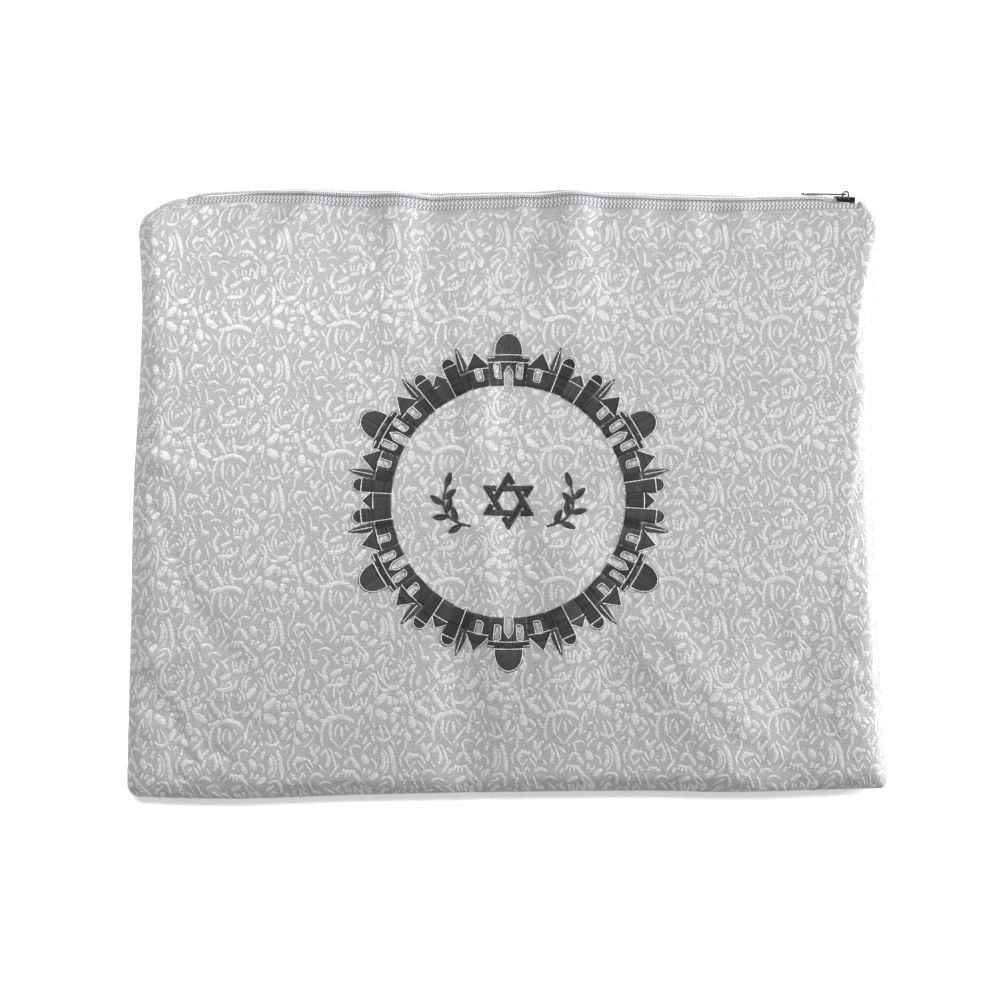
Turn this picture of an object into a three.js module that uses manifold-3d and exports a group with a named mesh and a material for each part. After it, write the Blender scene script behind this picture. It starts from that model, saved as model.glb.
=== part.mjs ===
import * as THREE from 'three';
import { mergeVertices } from 'three/addons/utils/BufferGeometryUtils.js';
import Module from 'manifold-3d';

// A flat zipped cloth bag lying on its back panel, with an embroidered front.
// X runs across the bag, +Y points to the zip and +Z up; lengths are in millimetres.

// Bag
const bagWidth = 357.2;
const bagHeight = 290.8;
const seamHeight = 5;
const edgeRise = 5.4;
const domeRise = 6.4;
const sideRoll = 8;
const bottomRoll = 8;
const topRoll = 6;
const clothWall = 1.6;
const leftCornerRadius = 6;
const rightCornerRadius = 3;
const foldHeight = 1.5;
const seamGap = 0.3;

// Zip
const zipWidth = 13.4;
const zipLeftInset = 22.6;
const zipRightInset = 10.4;
const tapeThickness = 0.9;
const tapeDrop = 0.35;
const coilWidth = 4;
const coilHeight = 2;
const pieceGap = 0.3;

// Slider and pull tab
const sliderInset = 5.9;
const sliderLength = 11.2;
const sliderRearWidth = 6.2;
const sliderFrontWidth = 7.2;
const sliderPlate = 0.8;
const innerPlate = 0.6;
const flangeThickness = 0.75;
const slotClearance = 0.35;
const wedgeWidth = 1.8;
const wedgeLength = 2.4;
const bridgeRadius = 1.8;
const bridgeBar = 0.8;
const bridgeWidth = 1.7;
const tabLength = 21.6;
const tabWidth = 5;
const tabThickness = 0.8;
const tabWindowWidth = 2.6;
const tabTipHeight = 0.9;

// Embroidery
const ringInner = 55;
const ringOuter = 83;
const ringCentreY = -6.4;
const threadHeight = 0.7;
const threadGap = 0.35;
const starRadius = 14.2;
const starStroke = 2.7;
const sprigReach = 35.5;
const leafLength = 8.6;
const leafWidth = 3.5;

// Mesh fineness
const columns = 27;
const rows = 18;
const rollSteps = 3;
const zipSections = 34;

const halfWidth = bagWidth / 2;
const halfHeight = bagHeight / 2;
const zipLeftEnd = -halfWidth + zipLeftInset;
const zipRightEnd = halfWidth - zipRightInset;
const sliderPlace = zipRightEnd - sliderInset;
const rad = Math.PI / 180;

// Side edges: up = share of the height, left and right = shares of half the width
const sideTable = [
  { up: 0.0, left: 1.0, right: 0.992 },
  { up: 0.3, left: 0.998, right: 0.974 },
  { up: 0.5, left: 0.998, right: 0.97 },
  { up: 0.68, left: 0.988, right: 0.973 },
  { up: 0.82, left: 0.984, right: 0.98 },
  { up: 0.91, left: 0.993, right: 0.997 },
  { up: 0.95, left: 0.996, right: 1.0 },
  { up: 0.97, left: 0.984, right: 0.99 },
  { up: 0.985, left: 0.954, right: 0.974 },
  { up: 1.0, left: 0.915, right: 0.96 },
];

// Bottom and zip edges: along = share of half the width, reach = share of half the height
const bottomTable = [
  { along: -1.0, reach: 0.992 },
  { along: -0.72, reach: 1.0 },
  { along: -0.4, reach: 0.988 },
  { along: 0.0, reach: 0.979 },
  { along: 0.36, reach: 0.975 },
  { along: 0.58, reach: 0.979 },
  { along: 0.9, reach: 0.969 },
  { along: 1.0, reach: 0.966 },
];
const topTable = [
  { along: -0.92, reach: 0.965 },
  { along: -0.83, reach: 0.983 },
  { along: -0.6, reach: 0.997 },
  { along: -0.45, reach: 1.0 },
  { along: -0.2, reach: 0.994 },
  { along: 0.14, reach: 1.0 },
  { along: 0.36, reach: 0.994 },
  { along: 0.68, reach: 0.983 },
  { along: 0.81, reach: 0.975 },
  { along: 0.9, reach: 0.969 },
  { along: 0.97, reach: 0.964 },
];

// Folds: ends in shares of half the bag, breadth in shares of half the width, rise in shares of foldHeight
const foldTable = [
  { name: 'left ridge, top', x1: -0.285, y1: 0.94, x2: -0.285, y2: 0.5, breadth: 0.05, rise: 0.8 },
  { name: 'left valley, top', x1: -0.186, y1: 0.92, x2: -0.16, y2: 0.46, breadth: 0.042, rise: -0.9 },
  { name: 'right valley, top', x1: 0.088, y1: 0.92, x2: 0.09, y2: 0.76, breadth: 0.04, rise: -0.7 },
  { name: 'main ridge, top', x1: 0.18, y1: 0.94, x2: 0.175, y2: 0.48, breadth: 0.055, rise: 1.0 },
  { name: 'ring valley, top', x1: -0.15, y1: 0.33, x2: -0.15, y2: 0.03, breadth: 0.04, rise: -0.7 },
  { name: 'ring ridge, top', x1: -0.085, y1: 0.33, x2: -0.085, y2: 0.06, breadth: 0.04, rise: 0.6 },
  { name: 'ring ridge, bottom', x1: -0.045, y1: -0.13, x2: -0.045, y2: -0.4, breadth: 0.04, rise: 0.6 },
  { name: 'ring valley, bottom', x1: 0.02, y1: -0.13, x2: 0.02, y2: -0.38, breadth: 0.04, rise: -0.6 },
  { name: 'right ridge, bottom', x1: 0.16, y1: -0.2, x2: 0.13, y2: -0.7, breadth: 0.055, rise: 0.7 },
  { name: 'left valley, bottom', x1: -0.125, y1: -0.52, x2: -0.1, y2: -0.94, breadth: 0.045, rise: -0.8 },
  { name: 'slanting ridge, bottom', x1: 0.38, y1: -0.5, x2: 0.62, y2: -0.88, breadth: 0.055, rise: 0.6 },
  { name: 'right hollow, bottom', x1: 0.72, y1: -0.52, x2: 0.76, y2: -0.86, breadth: 0.06, rise: -0.6 },
  { name: 'pull from the zip, left', x1: -0.54, y1: 0.93, x2: -0.64, y2: 0.76, breadth: 0.035, rise: 0.6 },
  { name: 'pull from the zip, right', x1: 0.34, y1: 0.93, x2: 0.35, y2: 0.82, breadth: 0.035, rise: 0.4 },
];

// Place of the zip's middle on the rounded top edge: turn 0 = its start on the front, 1 = its end below
const zipTable = [
  { along: -0.9, turn: 0.45 },
  { along: -0.72, turn: 0.42 },
  { along: -0.58, turn: 0.3 },
  { along: -0.4, turn: 0.2 },
  { along: 0.1, turn: 0.17 },
  { along: 0.6, turn: 0.19 },
  { along: 0.74, turn: 0.29 },
  { along: 0.84, turn: 0.39 },
  { along: 0.9, turn: 0.425 },
  { along: 0.96, turn: 0.44 },
];

// Half of one sixth of the embroidered town: at and half in degrees, heights in shares of the band
const townTable = [
  { form: 'block', at: 0, half: 8, foot: 0, eaves: 0.5, top: 0.5 },
  { form: 'dome', at: 0, half: 5.6, foot: 0.45, eaves: 0.5, top: 0.9 },
  { form: 'gable', at: 13.1, half: 4.6, foot: 0, eaves: 0.36, top: 0.62 },
  { form: 'cypress', at: 19, half: 1.7, foot: 0.2, eaves: 0.42, top: 0.78 },
  { form: 'dome', at: 23.9, half: 2.9, foot: 0, eaves: 0.52, top: 0.68 },
  { form: 'gable', at: 30, half: 3.6, foot: 0, eaves: 0.36, top: 0.5 },
];
const windowTable = [
  { form: 'gable', at: 0, half: 1.7, foot: -0.2, eaves: 0.2, top: 0.32 },
  { form: 'block', at: 4.9, half: 1.1, foot: 0.14, eaves: 0.36, top: 0.36 },
  { form: 'block', at: 13.1, half: 1.2, foot: 0.12, eaves: 0.3, top: 0.3 },
];
const townRepeats = 6;
const domeSteps = 5;
const bandWall = 0.3;

const wasm = await Module();
wasm.setup();

// Turns a closed geometry into a solid for joining and cutting
function toSolid(geometry) {
  const bare = new THREE.BufferGeometry();
  bare.setAttribute('position', geometry.getAttribute('position'));
  if (geometry.index) bare.setIndex(geometry.index);
  const merged = mergeVertices(bare, 1e-4);
  const vertProperties = new Float32Array(merged.getAttribute('position').array);
  const triVerts = new Uint32Array(merged.index.array);
  return new wasm.Manifold(new wasm.Mesh({ numProp: 3, vertProperties, triVerts }));
}

// Turns a solid back into a geometry
function toGeometry(solid) {
  const mesh = solid.getMesh();
  const geometry = new THREE.BufferGeometry();
  geometry.setAttribute('position', new THREE.BufferAttribute(new Float32Array(mesh.vertProperties), 3));
  geometry.setIndex(new THREE.BufferAttribute(new Uint32Array(mesh.triVerts), 1));
  geometry.computeVertexNormals();
  return geometry;
}

// Geometry from a list of points and a list of triangles
function meshFrom(points, triangles) {
  const geometry = new THREE.BufferGeometry();
  const places = points.flatMap((p) => [p.x, p.y, p.z]);
  geometry.setAttribute('position', new THREE.Float32BufferAttribute(places, 3));
  geometry.setIndex(triangles.flat());
  geometry.computeVertexNormals();
  return geometry;
}

function prism(outline, depth, holes = []) {
  const shape = new THREE.Shape(outline);
  shape.holes = holes.map((hole) => new THREE.Path(hole));
  return new THREE.ExtrudeGeometry(shape, { depth, bevelEnabled: false, curveSegments: 8 });
}

function box(fromX, toX, fromY, toY, fromZ, toZ) {
  const geometry = new THREE.BoxGeometry(toX - fromX, toY - fromY, toZ - fromZ);
  geometry.translate((fromX + toX) / 2, (fromY + toY) / 2, (fromZ + toZ) / 2);
  return geometry;
}

// Smooth value of one column of a table, read at a place in another column
function readTable(table, key, column, place) {
  const last = table.length - 1;
  if (place <= table[0][key]) return table[0][column];
  if (place >= table[last][key]) return table[last][column];
  const i = table.findIndex((row) => row[key] > place) - 1;
  const slope = (k) => {
    const low = table[Math.max(k - 1, 0)];
    const high = table[Math.min(k + 1, last)];
    return (high[column] - low[column]) / (high[key] - low[key]);
  };
  const span = table[i + 1][key] - table[i][key];
  const t = (place - table[i][key]) / span;
  const ease = 3 * t ** 2 - 2 * t ** 3;
  const leave = t ** 3 - 2 * t ** 2 + t;
  const arrive = t ** 3 - t ** 2;
  return (1 - ease) * table[i][column] + leave * span * slope(i)
    + ease * table[i + 1][column] + arrive * span * slope(i + 1);
}

const leftEdge = (up) => -halfWidth * readTable(sideTable, 'up', 'left', up);
const rightEdge = (up) => halfWidth * readTable(sideTable, 'up', 'right', up);
const bottomEdge = (along) => -halfHeight * readTable(bottomTable, 'along', 'reach', along);
const topEdge = (along) => halfHeight * readTable(topTable, 'along', 'reach', along);

// Height that the soft folds add at a place on the front
function foldRise(x, y) {
  let rise = 0;
  for (const fold of foldTable) {
    const fromX = fold.x1 * halfWidth;
    const fromY = fold.y1 * halfHeight;
    const runX = fold.x2 * halfWidth - fromX;
    const runY = fold.y2 * halfHeight - fromY;
    const along = ((x - fromX) * runX + (y - fromY) * runY) / (runX ** 2 + runY ** 2);
    const nearest = THREE.MathUtils.clamp(along, 0, 1);
    const off = Math.hypot(x - fromX - nearest * runX, y - fromY - nearest * runY);
    const breadth = fold.breadth * halfWidth;
    const fade = 1 - 0.45 * nearest;
    rise += fold.rise * foldHeight * fade * Math.exp(-0.5 * (off / breadth) ** 2);
  }
  return rise;
}

// Height of the front above the seam, away from the rolled edges
function frontRise(x, y) {
  const domeX = 1 - Math.min(Math.abs(x) / halfWidth, 1) ** 2.4;
  const domeY = 1 - Math.min(Math.abs(y) / halfHeight, 1) ** 2.4;
  return edgeRise + domeRise * domeX * domeY + foldRise(x, y);
}

// Steps across a width: rolled edge, middle spread by a function, rolled edge
function steps(count, spread) {
  const list = [];
  for (let i = 0; i <= rollSteps; i += 1) list.push({ angle: (90 * i) / rollSteps, middle: 0 });
  for (let i = 1; i < count; i += 1) list.push({ angle: 90, middle: spread(i / count) });
  for (let i = rollSteps; i >= 0; i -= 1) list.push({ angle: (90 * i) / rollSteps, middle: 1 });
  return list;
}
const columnSteps = steps(columns, (share) => share + 0.05 * Math.sin(2 * Math.PI * share));
const rowSteps = steps(rows, (share) => 1 - (1 - share) ** 1.25);
const lastColumn = columnSteps.length - 1;
const lastRow = rowSteps.length - 1;

// Distance in from both edges at one step, for edges of given rolls
function inward(step, rollStart, rollEnd, span) {
  const turned = 1 - Math.cos(step.angle * rad);
  if (step.middle === 0) return rollStart * turned;
  if (step.middle === 1) return span - rollEnd * turned;
  return rollStart + step.middle * (span - rollStart - rollEnd);
}

// How far a round corner draws the side edge in, at a distance from the bottom edge
function cornerDraw(radius, distance) {
  if (distance >= radius || radius <= 0) return 0;
  return radius - Math.sqrt(radius ** 2 - (radius - distance) ** 2);
}

// One point of the bag's form; inset 0 gives the outside, a wall's thickness the inside
function bagPoint(column, row, inset, lower) {
  const across = columnSteps[column];
  const upward = rowSteps[row];
  const nominalX = inward(across, sideRoll, sideRoll, bagWidth);
  const nominalY = inward(upward, bottomRoll, topRoll, bagHeight);
  const along = (2 * nominalX) / bagWidth - 1;
  const up = nominalY / bagHeight;
  const low = bottomEdge(along) + inset;
  const high = topEdge(along) - inset;
  const y = low + inward(upward, bottomRoll - inset, topRoll - inset, high - low);
  const left = leftEdge(up) + inset + cornerDraw(leftCornerRadius - inset, y - low);
  const right = rightEdge(up) - inset - cornerDraw(rightCornerRadius - inset, y - low);
  const x = left + inward(across, sideRoll - inset, sideRoll - inset, right - left);
  const roll = Math.sin(across.angle * rad) * Math.sin(upward.angle * rad);
  const rise = lower ? -roll * (seamHeight - inset) : roll * (frontRise(x, y) - inset);
  return new THREE.Vector3(x, y, seamHeight + rise);
}

// Closed form of the bag: the rounded front, the rolled edges and the flat underside
function bagForm(inset) {
  const points = [];
  const triangles = [];
  const front = [];
  const back = [];
  const onSeam = (i, j) => i === 0 || j === 0 || i === lastColumn || j === lastRow;
  const flatBetween = (k, last) => k > rollSteps && k < last - rollSteps;
  const onFlat = (i, j) => flatBetween(i, lastColumn) && flatBetween(j, lastRow);
  for (let j = 0; j <= lastRow; j += 1) {
    for (let i = 0; i <= lastColumn; i += 1) {
      const index = j * (lastColumn + 1) + i;
      front[index] = points.push(bagPoint(i, j, inset, false)) - 1;
      if (onSeam(i, j)) back[index] = front[index];
      else if (!onFlat(i, j)) back[index] = points.push(bagPoint(i, j, inset, true)) - 1;
    }
  }
  const at = (i, j) => j * (lastColumn + 1) + i;
  const inMiddle = (k, last) => k >= rollSteps && k < last - rollSteps;
  for (let j = 0; j < lastRow; j += 1) {
    for (let i = 0; i < lastColumn; i += 1) {
      const corners = [at(i, j), at(i + 1, j), at(i + 1, j + 1), at(i, j + 1)];
      const f = corners.map((c) => front[c]);
      triangles.push([f[0], f[1], f[2]], [f[0], f[2], f[3]]);
      if (inMiddle(i, lastColumn) && inMiddle(j, lastRow)) continue;
      const b = corners.map((c) => back[c]);
      triangles.push([b[0], b[2], b[1]], [b[0], b[3], b[2]]);
    }
  }
  const rim = [];
  for (let i = rollSteps; i < lastColumn - rollSteps; i += 1) rim.push(back[at(i, rollSteps)]);
  for (let j = rollSteps; j < lastRow - rollSteps; j += 1) rim.push(back[at(lastColumn - rollSteps, j)]);
  for (let i = lastColumn - rollSteps; i > rollSteps; i -= 1) rim.push(back[at(i, lastRow - rollSteps)]);
  for (let j = lastRow - rollSteps; j > rollSteps; j -= 1) rim.push(back[at(rollSteps, j)]);
  const flat = rim.map((k) => new THREE.Vector2(points[k].x, points[k].y));
  for (const [a, b, c] of THREE.ShapeUtils.triangulateShape(flat, [])) {
    triangles.push([rim[a], rim[c], rim[b]]);
  }
  return meshFrom(points, triangles);
}

// Outline of the rounded top edge at one place across the bag, from the front to the underside
function edgeProfile(x) {
  const inner = sideRoll + clothWall;
  const place = THREE.MathUtils.clamp(x, leftEdge(1) + inner, rightEdge(1) - inner);
  const edge = topEdge(x / halfWidth);
  const points = [];
  const flatStep = 1.5;
  const frontSteps = 14;
  const turnSteps = 12;
  const backSteps = 6;
  for (let k = frontSteps; k > 0; k -= 1) {
    const y = edge - topRoll - k * flatStep;
    points.push(new THREE.Vector2(y, seamHeight + frontRise(place, y)));
  }
  for (let k = 0; k <= turnSteps; k += 1) {
    const angle = (90 - (90 * k) / turnSteps) * rad;
    const y = edge - topRoll * (1 - Math.cos(angle));
    points.push(new THREE.Vector2(y, seamHeight + Math.sin(angle) * frontRise(place, y)));
  }
  for (let k = 1; k <= turnSteps; k += 1) {
    const angle = ((90 * k) / turnSteps) * rad;
    const y = edge - topRoll * (1 - Math.cos(angle));
    points.push(new THREE.Vector2(y, seamHeight * (1 - Math.sin(angle))));
  }
  for (let k = 1; k <= backSteps; k += 1) points.push(new THREE.Vector2(edge - topRoll - k * flatStep, 0));
  const lengths = [0];
  for (let k = 1; k < points.length; k += 1) {
    lengths.push(lengths[k - 1] + points[k].distanceTo(points[k - 1]));
  }
  const turnEnd = lengths[frontSteps + 2 * turnSteps];
  return { points, lengths, turnStart: lengths[frontSteps], turnEnd };
}

// Point of an outline at a length along it, moved out along its normal
function profilePoint(profile, length, out) {
  const { points, lengths } = profile;
  let k = lengths.findIndex((value) => value > length) - 1;
  if (k < 0) k = length <= 0 ? 0 : points.length - 2;
  const t = (length - lengths[k]) / (lengths[k + 1] - lengths[k]);
  const run = points[k + 1].clone().sub(points[k]).normalize();
  const normal = new THREE.Vector2(-run.y, run.x);
  return points[k].clone().lerp(points[k + 1], t).addScaledVector(normal, out);
}

// Place of the zip at one x: its middle line, the way across from front to back, and the way out
function zipFrame(x) {
  const profile = edgeProfile(x);
  const turn = readTable(zipTable, 'along', 'turn', x / halfWidth);
  const middle = THREE.MathUtils.lerp(profile.turnStart, profile.turnEnd, turn);
  const centre = profilePoint(profile, middle, 0);
  const across = profilePoint(profile, middle + coilWidth / 2, 0)
    .sub(profilePoint(profile, middle - coilWidth / 2, 0)).normalize();
  const out = new THREE.Vector2(-across.y, across.x);
  return { profile, middle, centre, across, out };
}

// Places along the zip between two ends; all of its pieces share them, with more at the slider
const wedgeStart = sliderPlace + sliderLength / 2 - wedgeLength - 1;
const slitOpening = 3;
function stations(from, to) {
  const list = [wedgeStart - slitOpening - pieceGap, wedgeStart - pieceGap, sliderPlace - sliderLength / 2];
  for (let k = 0; k <= zipSections; k += 1) {
    list.push(THREE.MathUtils.lerp(zipLeftEnd, zipRightEnd, k / zipSections));
  }
  const inside = list.filter((x) => x > from + pieceGap && x < to - pieceGap);
  return [from, ...inside.sort((a, b) => a - b), to];
}

// Half the width over which the tapes lie flat: wider under the slider
function flatHalf(x) {
  const off = Math.abs(x - sliderPlace);
  const near = 1 - THREE.MathUtils.smoothstep(off, sliderLength / 2 + 1, sliderLength);
  return THREE.MathUtils.lerp(coilWidth / 2 + pieceGap, sliderFrontWidth / 2 + pieceGap, near);
}

// How deep the flat middle of the zip lies under the rounded edge
const flatDepth = (x) => tapeDrop + flatHalf(x) ** 2 / (2 * topRoll);

// Half the slit between the tapes: it opens where the slider's wedge stands
function slitHalf(x) {
  const open = THREE.MathUtils.smoothstep(x, wedgeStart - slitOpening - pieceGap, wedgeStart - pieceGap);
  return THREE.MathUtils.lerp(0.2, wedgeWidth / 2 + pieceGap, open);
}

// Point of the zip in the flat frame: sideways from its middle and up from the tapes' upper face
function zipPoint(x, sideways, up) {
  const frame = zipFrame(x);
  const point = frame.centre.clone().addScaledVector(frame.across, sideways);
  point.addScaledVector(frame.out, up - flatDepth(x));
  return new THREE.Vector3(x, point.x, point.y);
}

// Closed strip through sections of equal point count, placed along x
function loft(sections) {
  const count = sections[0].length;
  const points = sections.flat();
  const triangles = [];
  for (let s = 0; s < sections.length - 1; s += 1) {
    for (let k = 0; k < count; k += 1) {
      const a = s * count + k;
      const b = s * count + ((k + 1) % count);
      triangles.push([a, b, b + count], [a, b + count, a + count]);
    }
  }
  const last = (sections.length - 1) * count;
  const cap = (section) => {
    const flat = section.map((p) => new THREE.Vector2(p.y, p.z));
    return THREE.ShapeUtils.triangulateShape(flat, []);
  };
  for (const [a, b, c] of cap(sections[0])) triangles.push([a, c, b]);
  for (const [a, b, c] of cap(sections[sections.length - 1])) {
    triangles.push([last + a, last + b, last + c]);
  }
  return meshFrom(points, triangles);
}

// Space that the zip takes out of the cloth; it may run on past the front or the back edge
function zipSpace(frontExtra, backExtra) {
  const reachOut = 4;
  const reachIn = clothWall + 1.2;
  const parts = 8;
  return loft(stations(zipLeftEnd, zipRightEnd).map((x) => {
    const { profile, middle } = zipFrame(x);
    const from = middle - zipWidth / 2 - frontExtra;
    const to = middle + zipWidth / 2 + backExtra;
    const outer = [];
    const inner = [];
    for (let k = 0; k <= parts; k += 1) {
      const length = THREE.MathUtils.lerp(from, to, k / parts);
      const high = profilePoint(profile, length, reachOut);
      const low = profilePoint(profile, length, -reachIn);
      outer.push(new THREE.Vector3(x, high.x, high.y));
      inner.unshift(new THREE.Vector3(x, low.x, low.y));
    }
    return [...outer, ...inner].reverse();
  }));
}

// Woven tape on one side of the zip: side -1 is the front one, 1 the back one
function zipTape(side) {
  const edgeLength = zipWidth / 2 - pieceGap;
  return loft(stations(zipLeftEnd + pieceGap, zipRightEnd - pieceGap).map((x) => {
    const { profile, middle } = zipFrame(x);
    const flat = flatHalf(x);
    const onEdge = (depth) => {
      const p = profilePoint(profile, middle + side * (edgeLength - 0.4 * depth), -depth);
      return new THREE.Vector3(x, p.x, p.y);
    };
    const top = [zipPoint(x, side * slitHalf(x), 0), zipPoint(x, side * flat, 0), onEdge(tapeDrop)];
    const low = [
      zipPoint(x, side * slitHalf(x), -tapeThickness),
      zipPoint(x, side * (flat - 0.1), -tapeThickness),
      onEdge(tapeDrop + tapeThickness),
    ];
    const ring = [...top, ...low.reverse()];
    return side > 0 ? ring.reverse() : ring;
  }));
}

// One side of the closed coil, from the left end of the zip into the slider
function zipCoil(side) {
  const coilEnd = wedgeStart - pieceGap;
  const coilSeat = 1.3 * pieceGap;
  const outline = [
    { sideways: 0.15, up: 0 },
    { sideways: 0.15, up: coilHeight },
    { sideways: 0.34 * coilWidth, up: 0.82 * coilHeight },
    { sideways: coilWidth / 2, up: 0.35 * coilHeight },
    { sideways: coilWidth / 2, up: 0 },
  ];
  const squeeze = 1 - coilSeat / coilHeight;
  return loft(stations(zipLeftEnd + pieceGap, coilEnd).map((x) => {
    const ring = outline.map((p) => zipPoint(x, side * p.sideways, coilSeat + p.up * squeeze));
    return side > 0 ? ring.reverse() : ring;
  }));
}

// Axes of the slider: along the zip, across it and out of it
function sliderMatrix() {
  const span = sliderLength / 3;
  const start = zipPoint(sliderPlace - span, 0, 0);
  const end = zipPoint(sliderPlace + span, 0, 0);
  const centre = start.clone().add(end).multiplyScalar(0.5);
  const along = end.sub(start).normalize();
  const frame = zipFrame(sliderPlace);
  const across = new THREE.Vector3(0, frame.across.x, frame.across.y);
  const out = new THREE.Vector3().crossVectors(along, across).normalize();
  across.crossVectors(out, along);
  return new THREE.Matrix4().makeBasis(along, across, out).setPosition(centre);
}

const plateBase = coilHeight + slotClearance;
const plateTop = plateBase + sliderPlate;
const pivotHeight = plateTop + tabThickness / 2 + 2 * pieceGap;
const tabDroop = Math.asin((pivotHeight - tabThickness / 2 - coilHeight - tabTipHeight) / tabLength);

// Outline of a slider plate: narrow where the closed coil enters, wide where the tapes part
function plateOutline(shorter, narrower) {
  const rear = -sliderLength / 2;
  const front = sliderLength / 2 - shorter;
  const narrow = sliderRearWidth / 2 - narrower;
  const wide = sliderFrontWidth / 2 - narrower;
  const half = [
    new THREE.Vector2(rear, narrow - 0.8),
    new THREE.Vector2(rear + 0.8, narrow),
    new THREE.Vector2(rear + 0.3 * sliderLength, narrow),
    new THREE.Vector2(rear + 0.6 * sliderLength, wide),
    new THREE.Vector2(front - 1.4, wide),
    new THREE.Vector2(front, wide - 1.6),
  ];
  const mirrored = half.map((p) => new THREE.Vector2(p.x, -p.y)).reverse();
  return [...mirrored, ...half].reverse();
}

// Slider: two plates on a wedge, side flanges round the coil, and the bridge that holds the tab
function slider() {
  const outer = prism(plateOutline(0, 0), sliderPlate).translate(0, 0, plateBase);
  const innerTop = -tapeThickness - slotClearance;
  const inner = prism(plateOutline(0.8, 0.7), innerPlate).translate(0, 0, innerTop - innerPlate);
  const wedgeFront = sliderLength / 2 - 1;
  const wedge = box(
    wedgeFront - wedgeLength, wedgeFront, -wedgeWidth / 2, wedgeWidth / 2,
    innerTop - innerPlate / 2, plateBase + sliderPlate / 2,
  );
  let solid = toSolid(outer).add(toSolid(inner)).add(toSolid(wedge));
  for (const side of [-1, 1]) {
    const rear = -sliderLength / 2 + 0.8;
    const front = sliderLength / 2 - 1.4;
    const narrow = sliderRearWidth / 2;
    const wide = sliderFrontWidth / 2;
    const strip = [
      new THREE.Vector2(rear, side * narrow),
      new THREE.Vector2(-0.2 * sliderLength, side * narrow),
      new THREE.Vector2(0.1 * sliderLength, side * wide),
      new THREE.Vector2(front, side * wide),
      new THREE.Vector2(front, side * (wide - flangeThickness)),
      new THREE.Vector2(0.1 * sliderLength, side * (wide - flangeThickness)),
      new THREE.Vector2(-0.2 * sliderLength, side * (narrow - flangeThickness)),
      new THREE.Vector2(rear, side * (narrow - flangeThickness)),
    ];
    const flange = prism(side > 0 ? strip.reverse() : strip, plateTop - slotClearance - sliderPlate / 2);
    solid = solid.add(toSolid(flange.translate(0, 0, slotClearance)));
  }
  const arch = [];
  const archSteps = 10;
  const archPoint = (radius, k) => {
    const angle = Math.PI * (k / archSteps);
    return new THREE.Vector2(radius * Math.cos(angle), pivotHeight + radius * Math.sin(angle));
  };
  const bridgeFoot = plateTop - sliderPlate / 2;
  for (let k = 0; k <= archSteps; k += 1) arch.push(archPoint(bridgeRadius, k));
  arch.push(new THREE.Vector2(-bridgeRadius, bridgeFoot));
  arch.push(new THREE.Vector2(-bridgeRadius + bridgeBar, bridgeFoot));
  for (let k = archSteps; k >= 0; k -= 1) arch.push(archPoint(bridgeRadius - bridgeBar, k));
  arch.push(new THREE.Vector2(bridgeRadius - bridgeBar, bridgeFoot));
  arch.push(new THREE.Vector2(bridgeRadius, bridgeFoot));
  const bridge = prism(arch, bridgeWidth).rotateX(Math.PI / 2).translate(0, bridgeWidth / 2, 0);
  return toGeometry(solid.add(toSolid(bridge)));
}

// Pull tab, drawn about its hinge bar: its tip lies on the closed coil, and it swings out
function pullTab() {
  const bar = tabThickness / 2;
  const half = tabWidth / 2;
  const tip = -tabLength;
  const outline = [
    new THREE.Vector2(bar, -half + 0.5),
    new THREE.Vector2(bar, half - 0.5),
    new THREE.Vector2(bar - 0.5, half),
    new THREE.Vector2(tip + 0.55 * tabLength, 0.8 * half),
    new THREE.Vector2(tip + 3, half),
    new THREE.Vector2(tip + 1, 0.75 * half),
    new THREE.Vector2(tip, 0.3 * half),
    new THREE.Vector2(tip, -0.3 * half),
    new THREE.Vector2(tip + 1, -0.75 * half),
    new THREE.Vector2(tip + 3, -half),
    new THREE.Vector2(tip + 0.55 * tabLength, -0.8 * half),
    new THREE.Vector2(bar - 0.5, -half),
  ];
  const window = [
    new THREE.Vector2(-bar, -tabWindowWidth / 2),
    new THREE.Vector2(-bar, tabWindowWidth / 2),
    new THREE.Vector2(-bridgeRadius - 2 * pieceGap, tabWindowWidth / 2),
    new THREE.Vector2(-bridgeRadius - 2 * pieceGap, -tabWindowWidth / 2),
  ];
  return prism(outline.reverse(), tabThickness, [window]).translate(0, 0, -tabThickness / 2);
}

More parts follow.
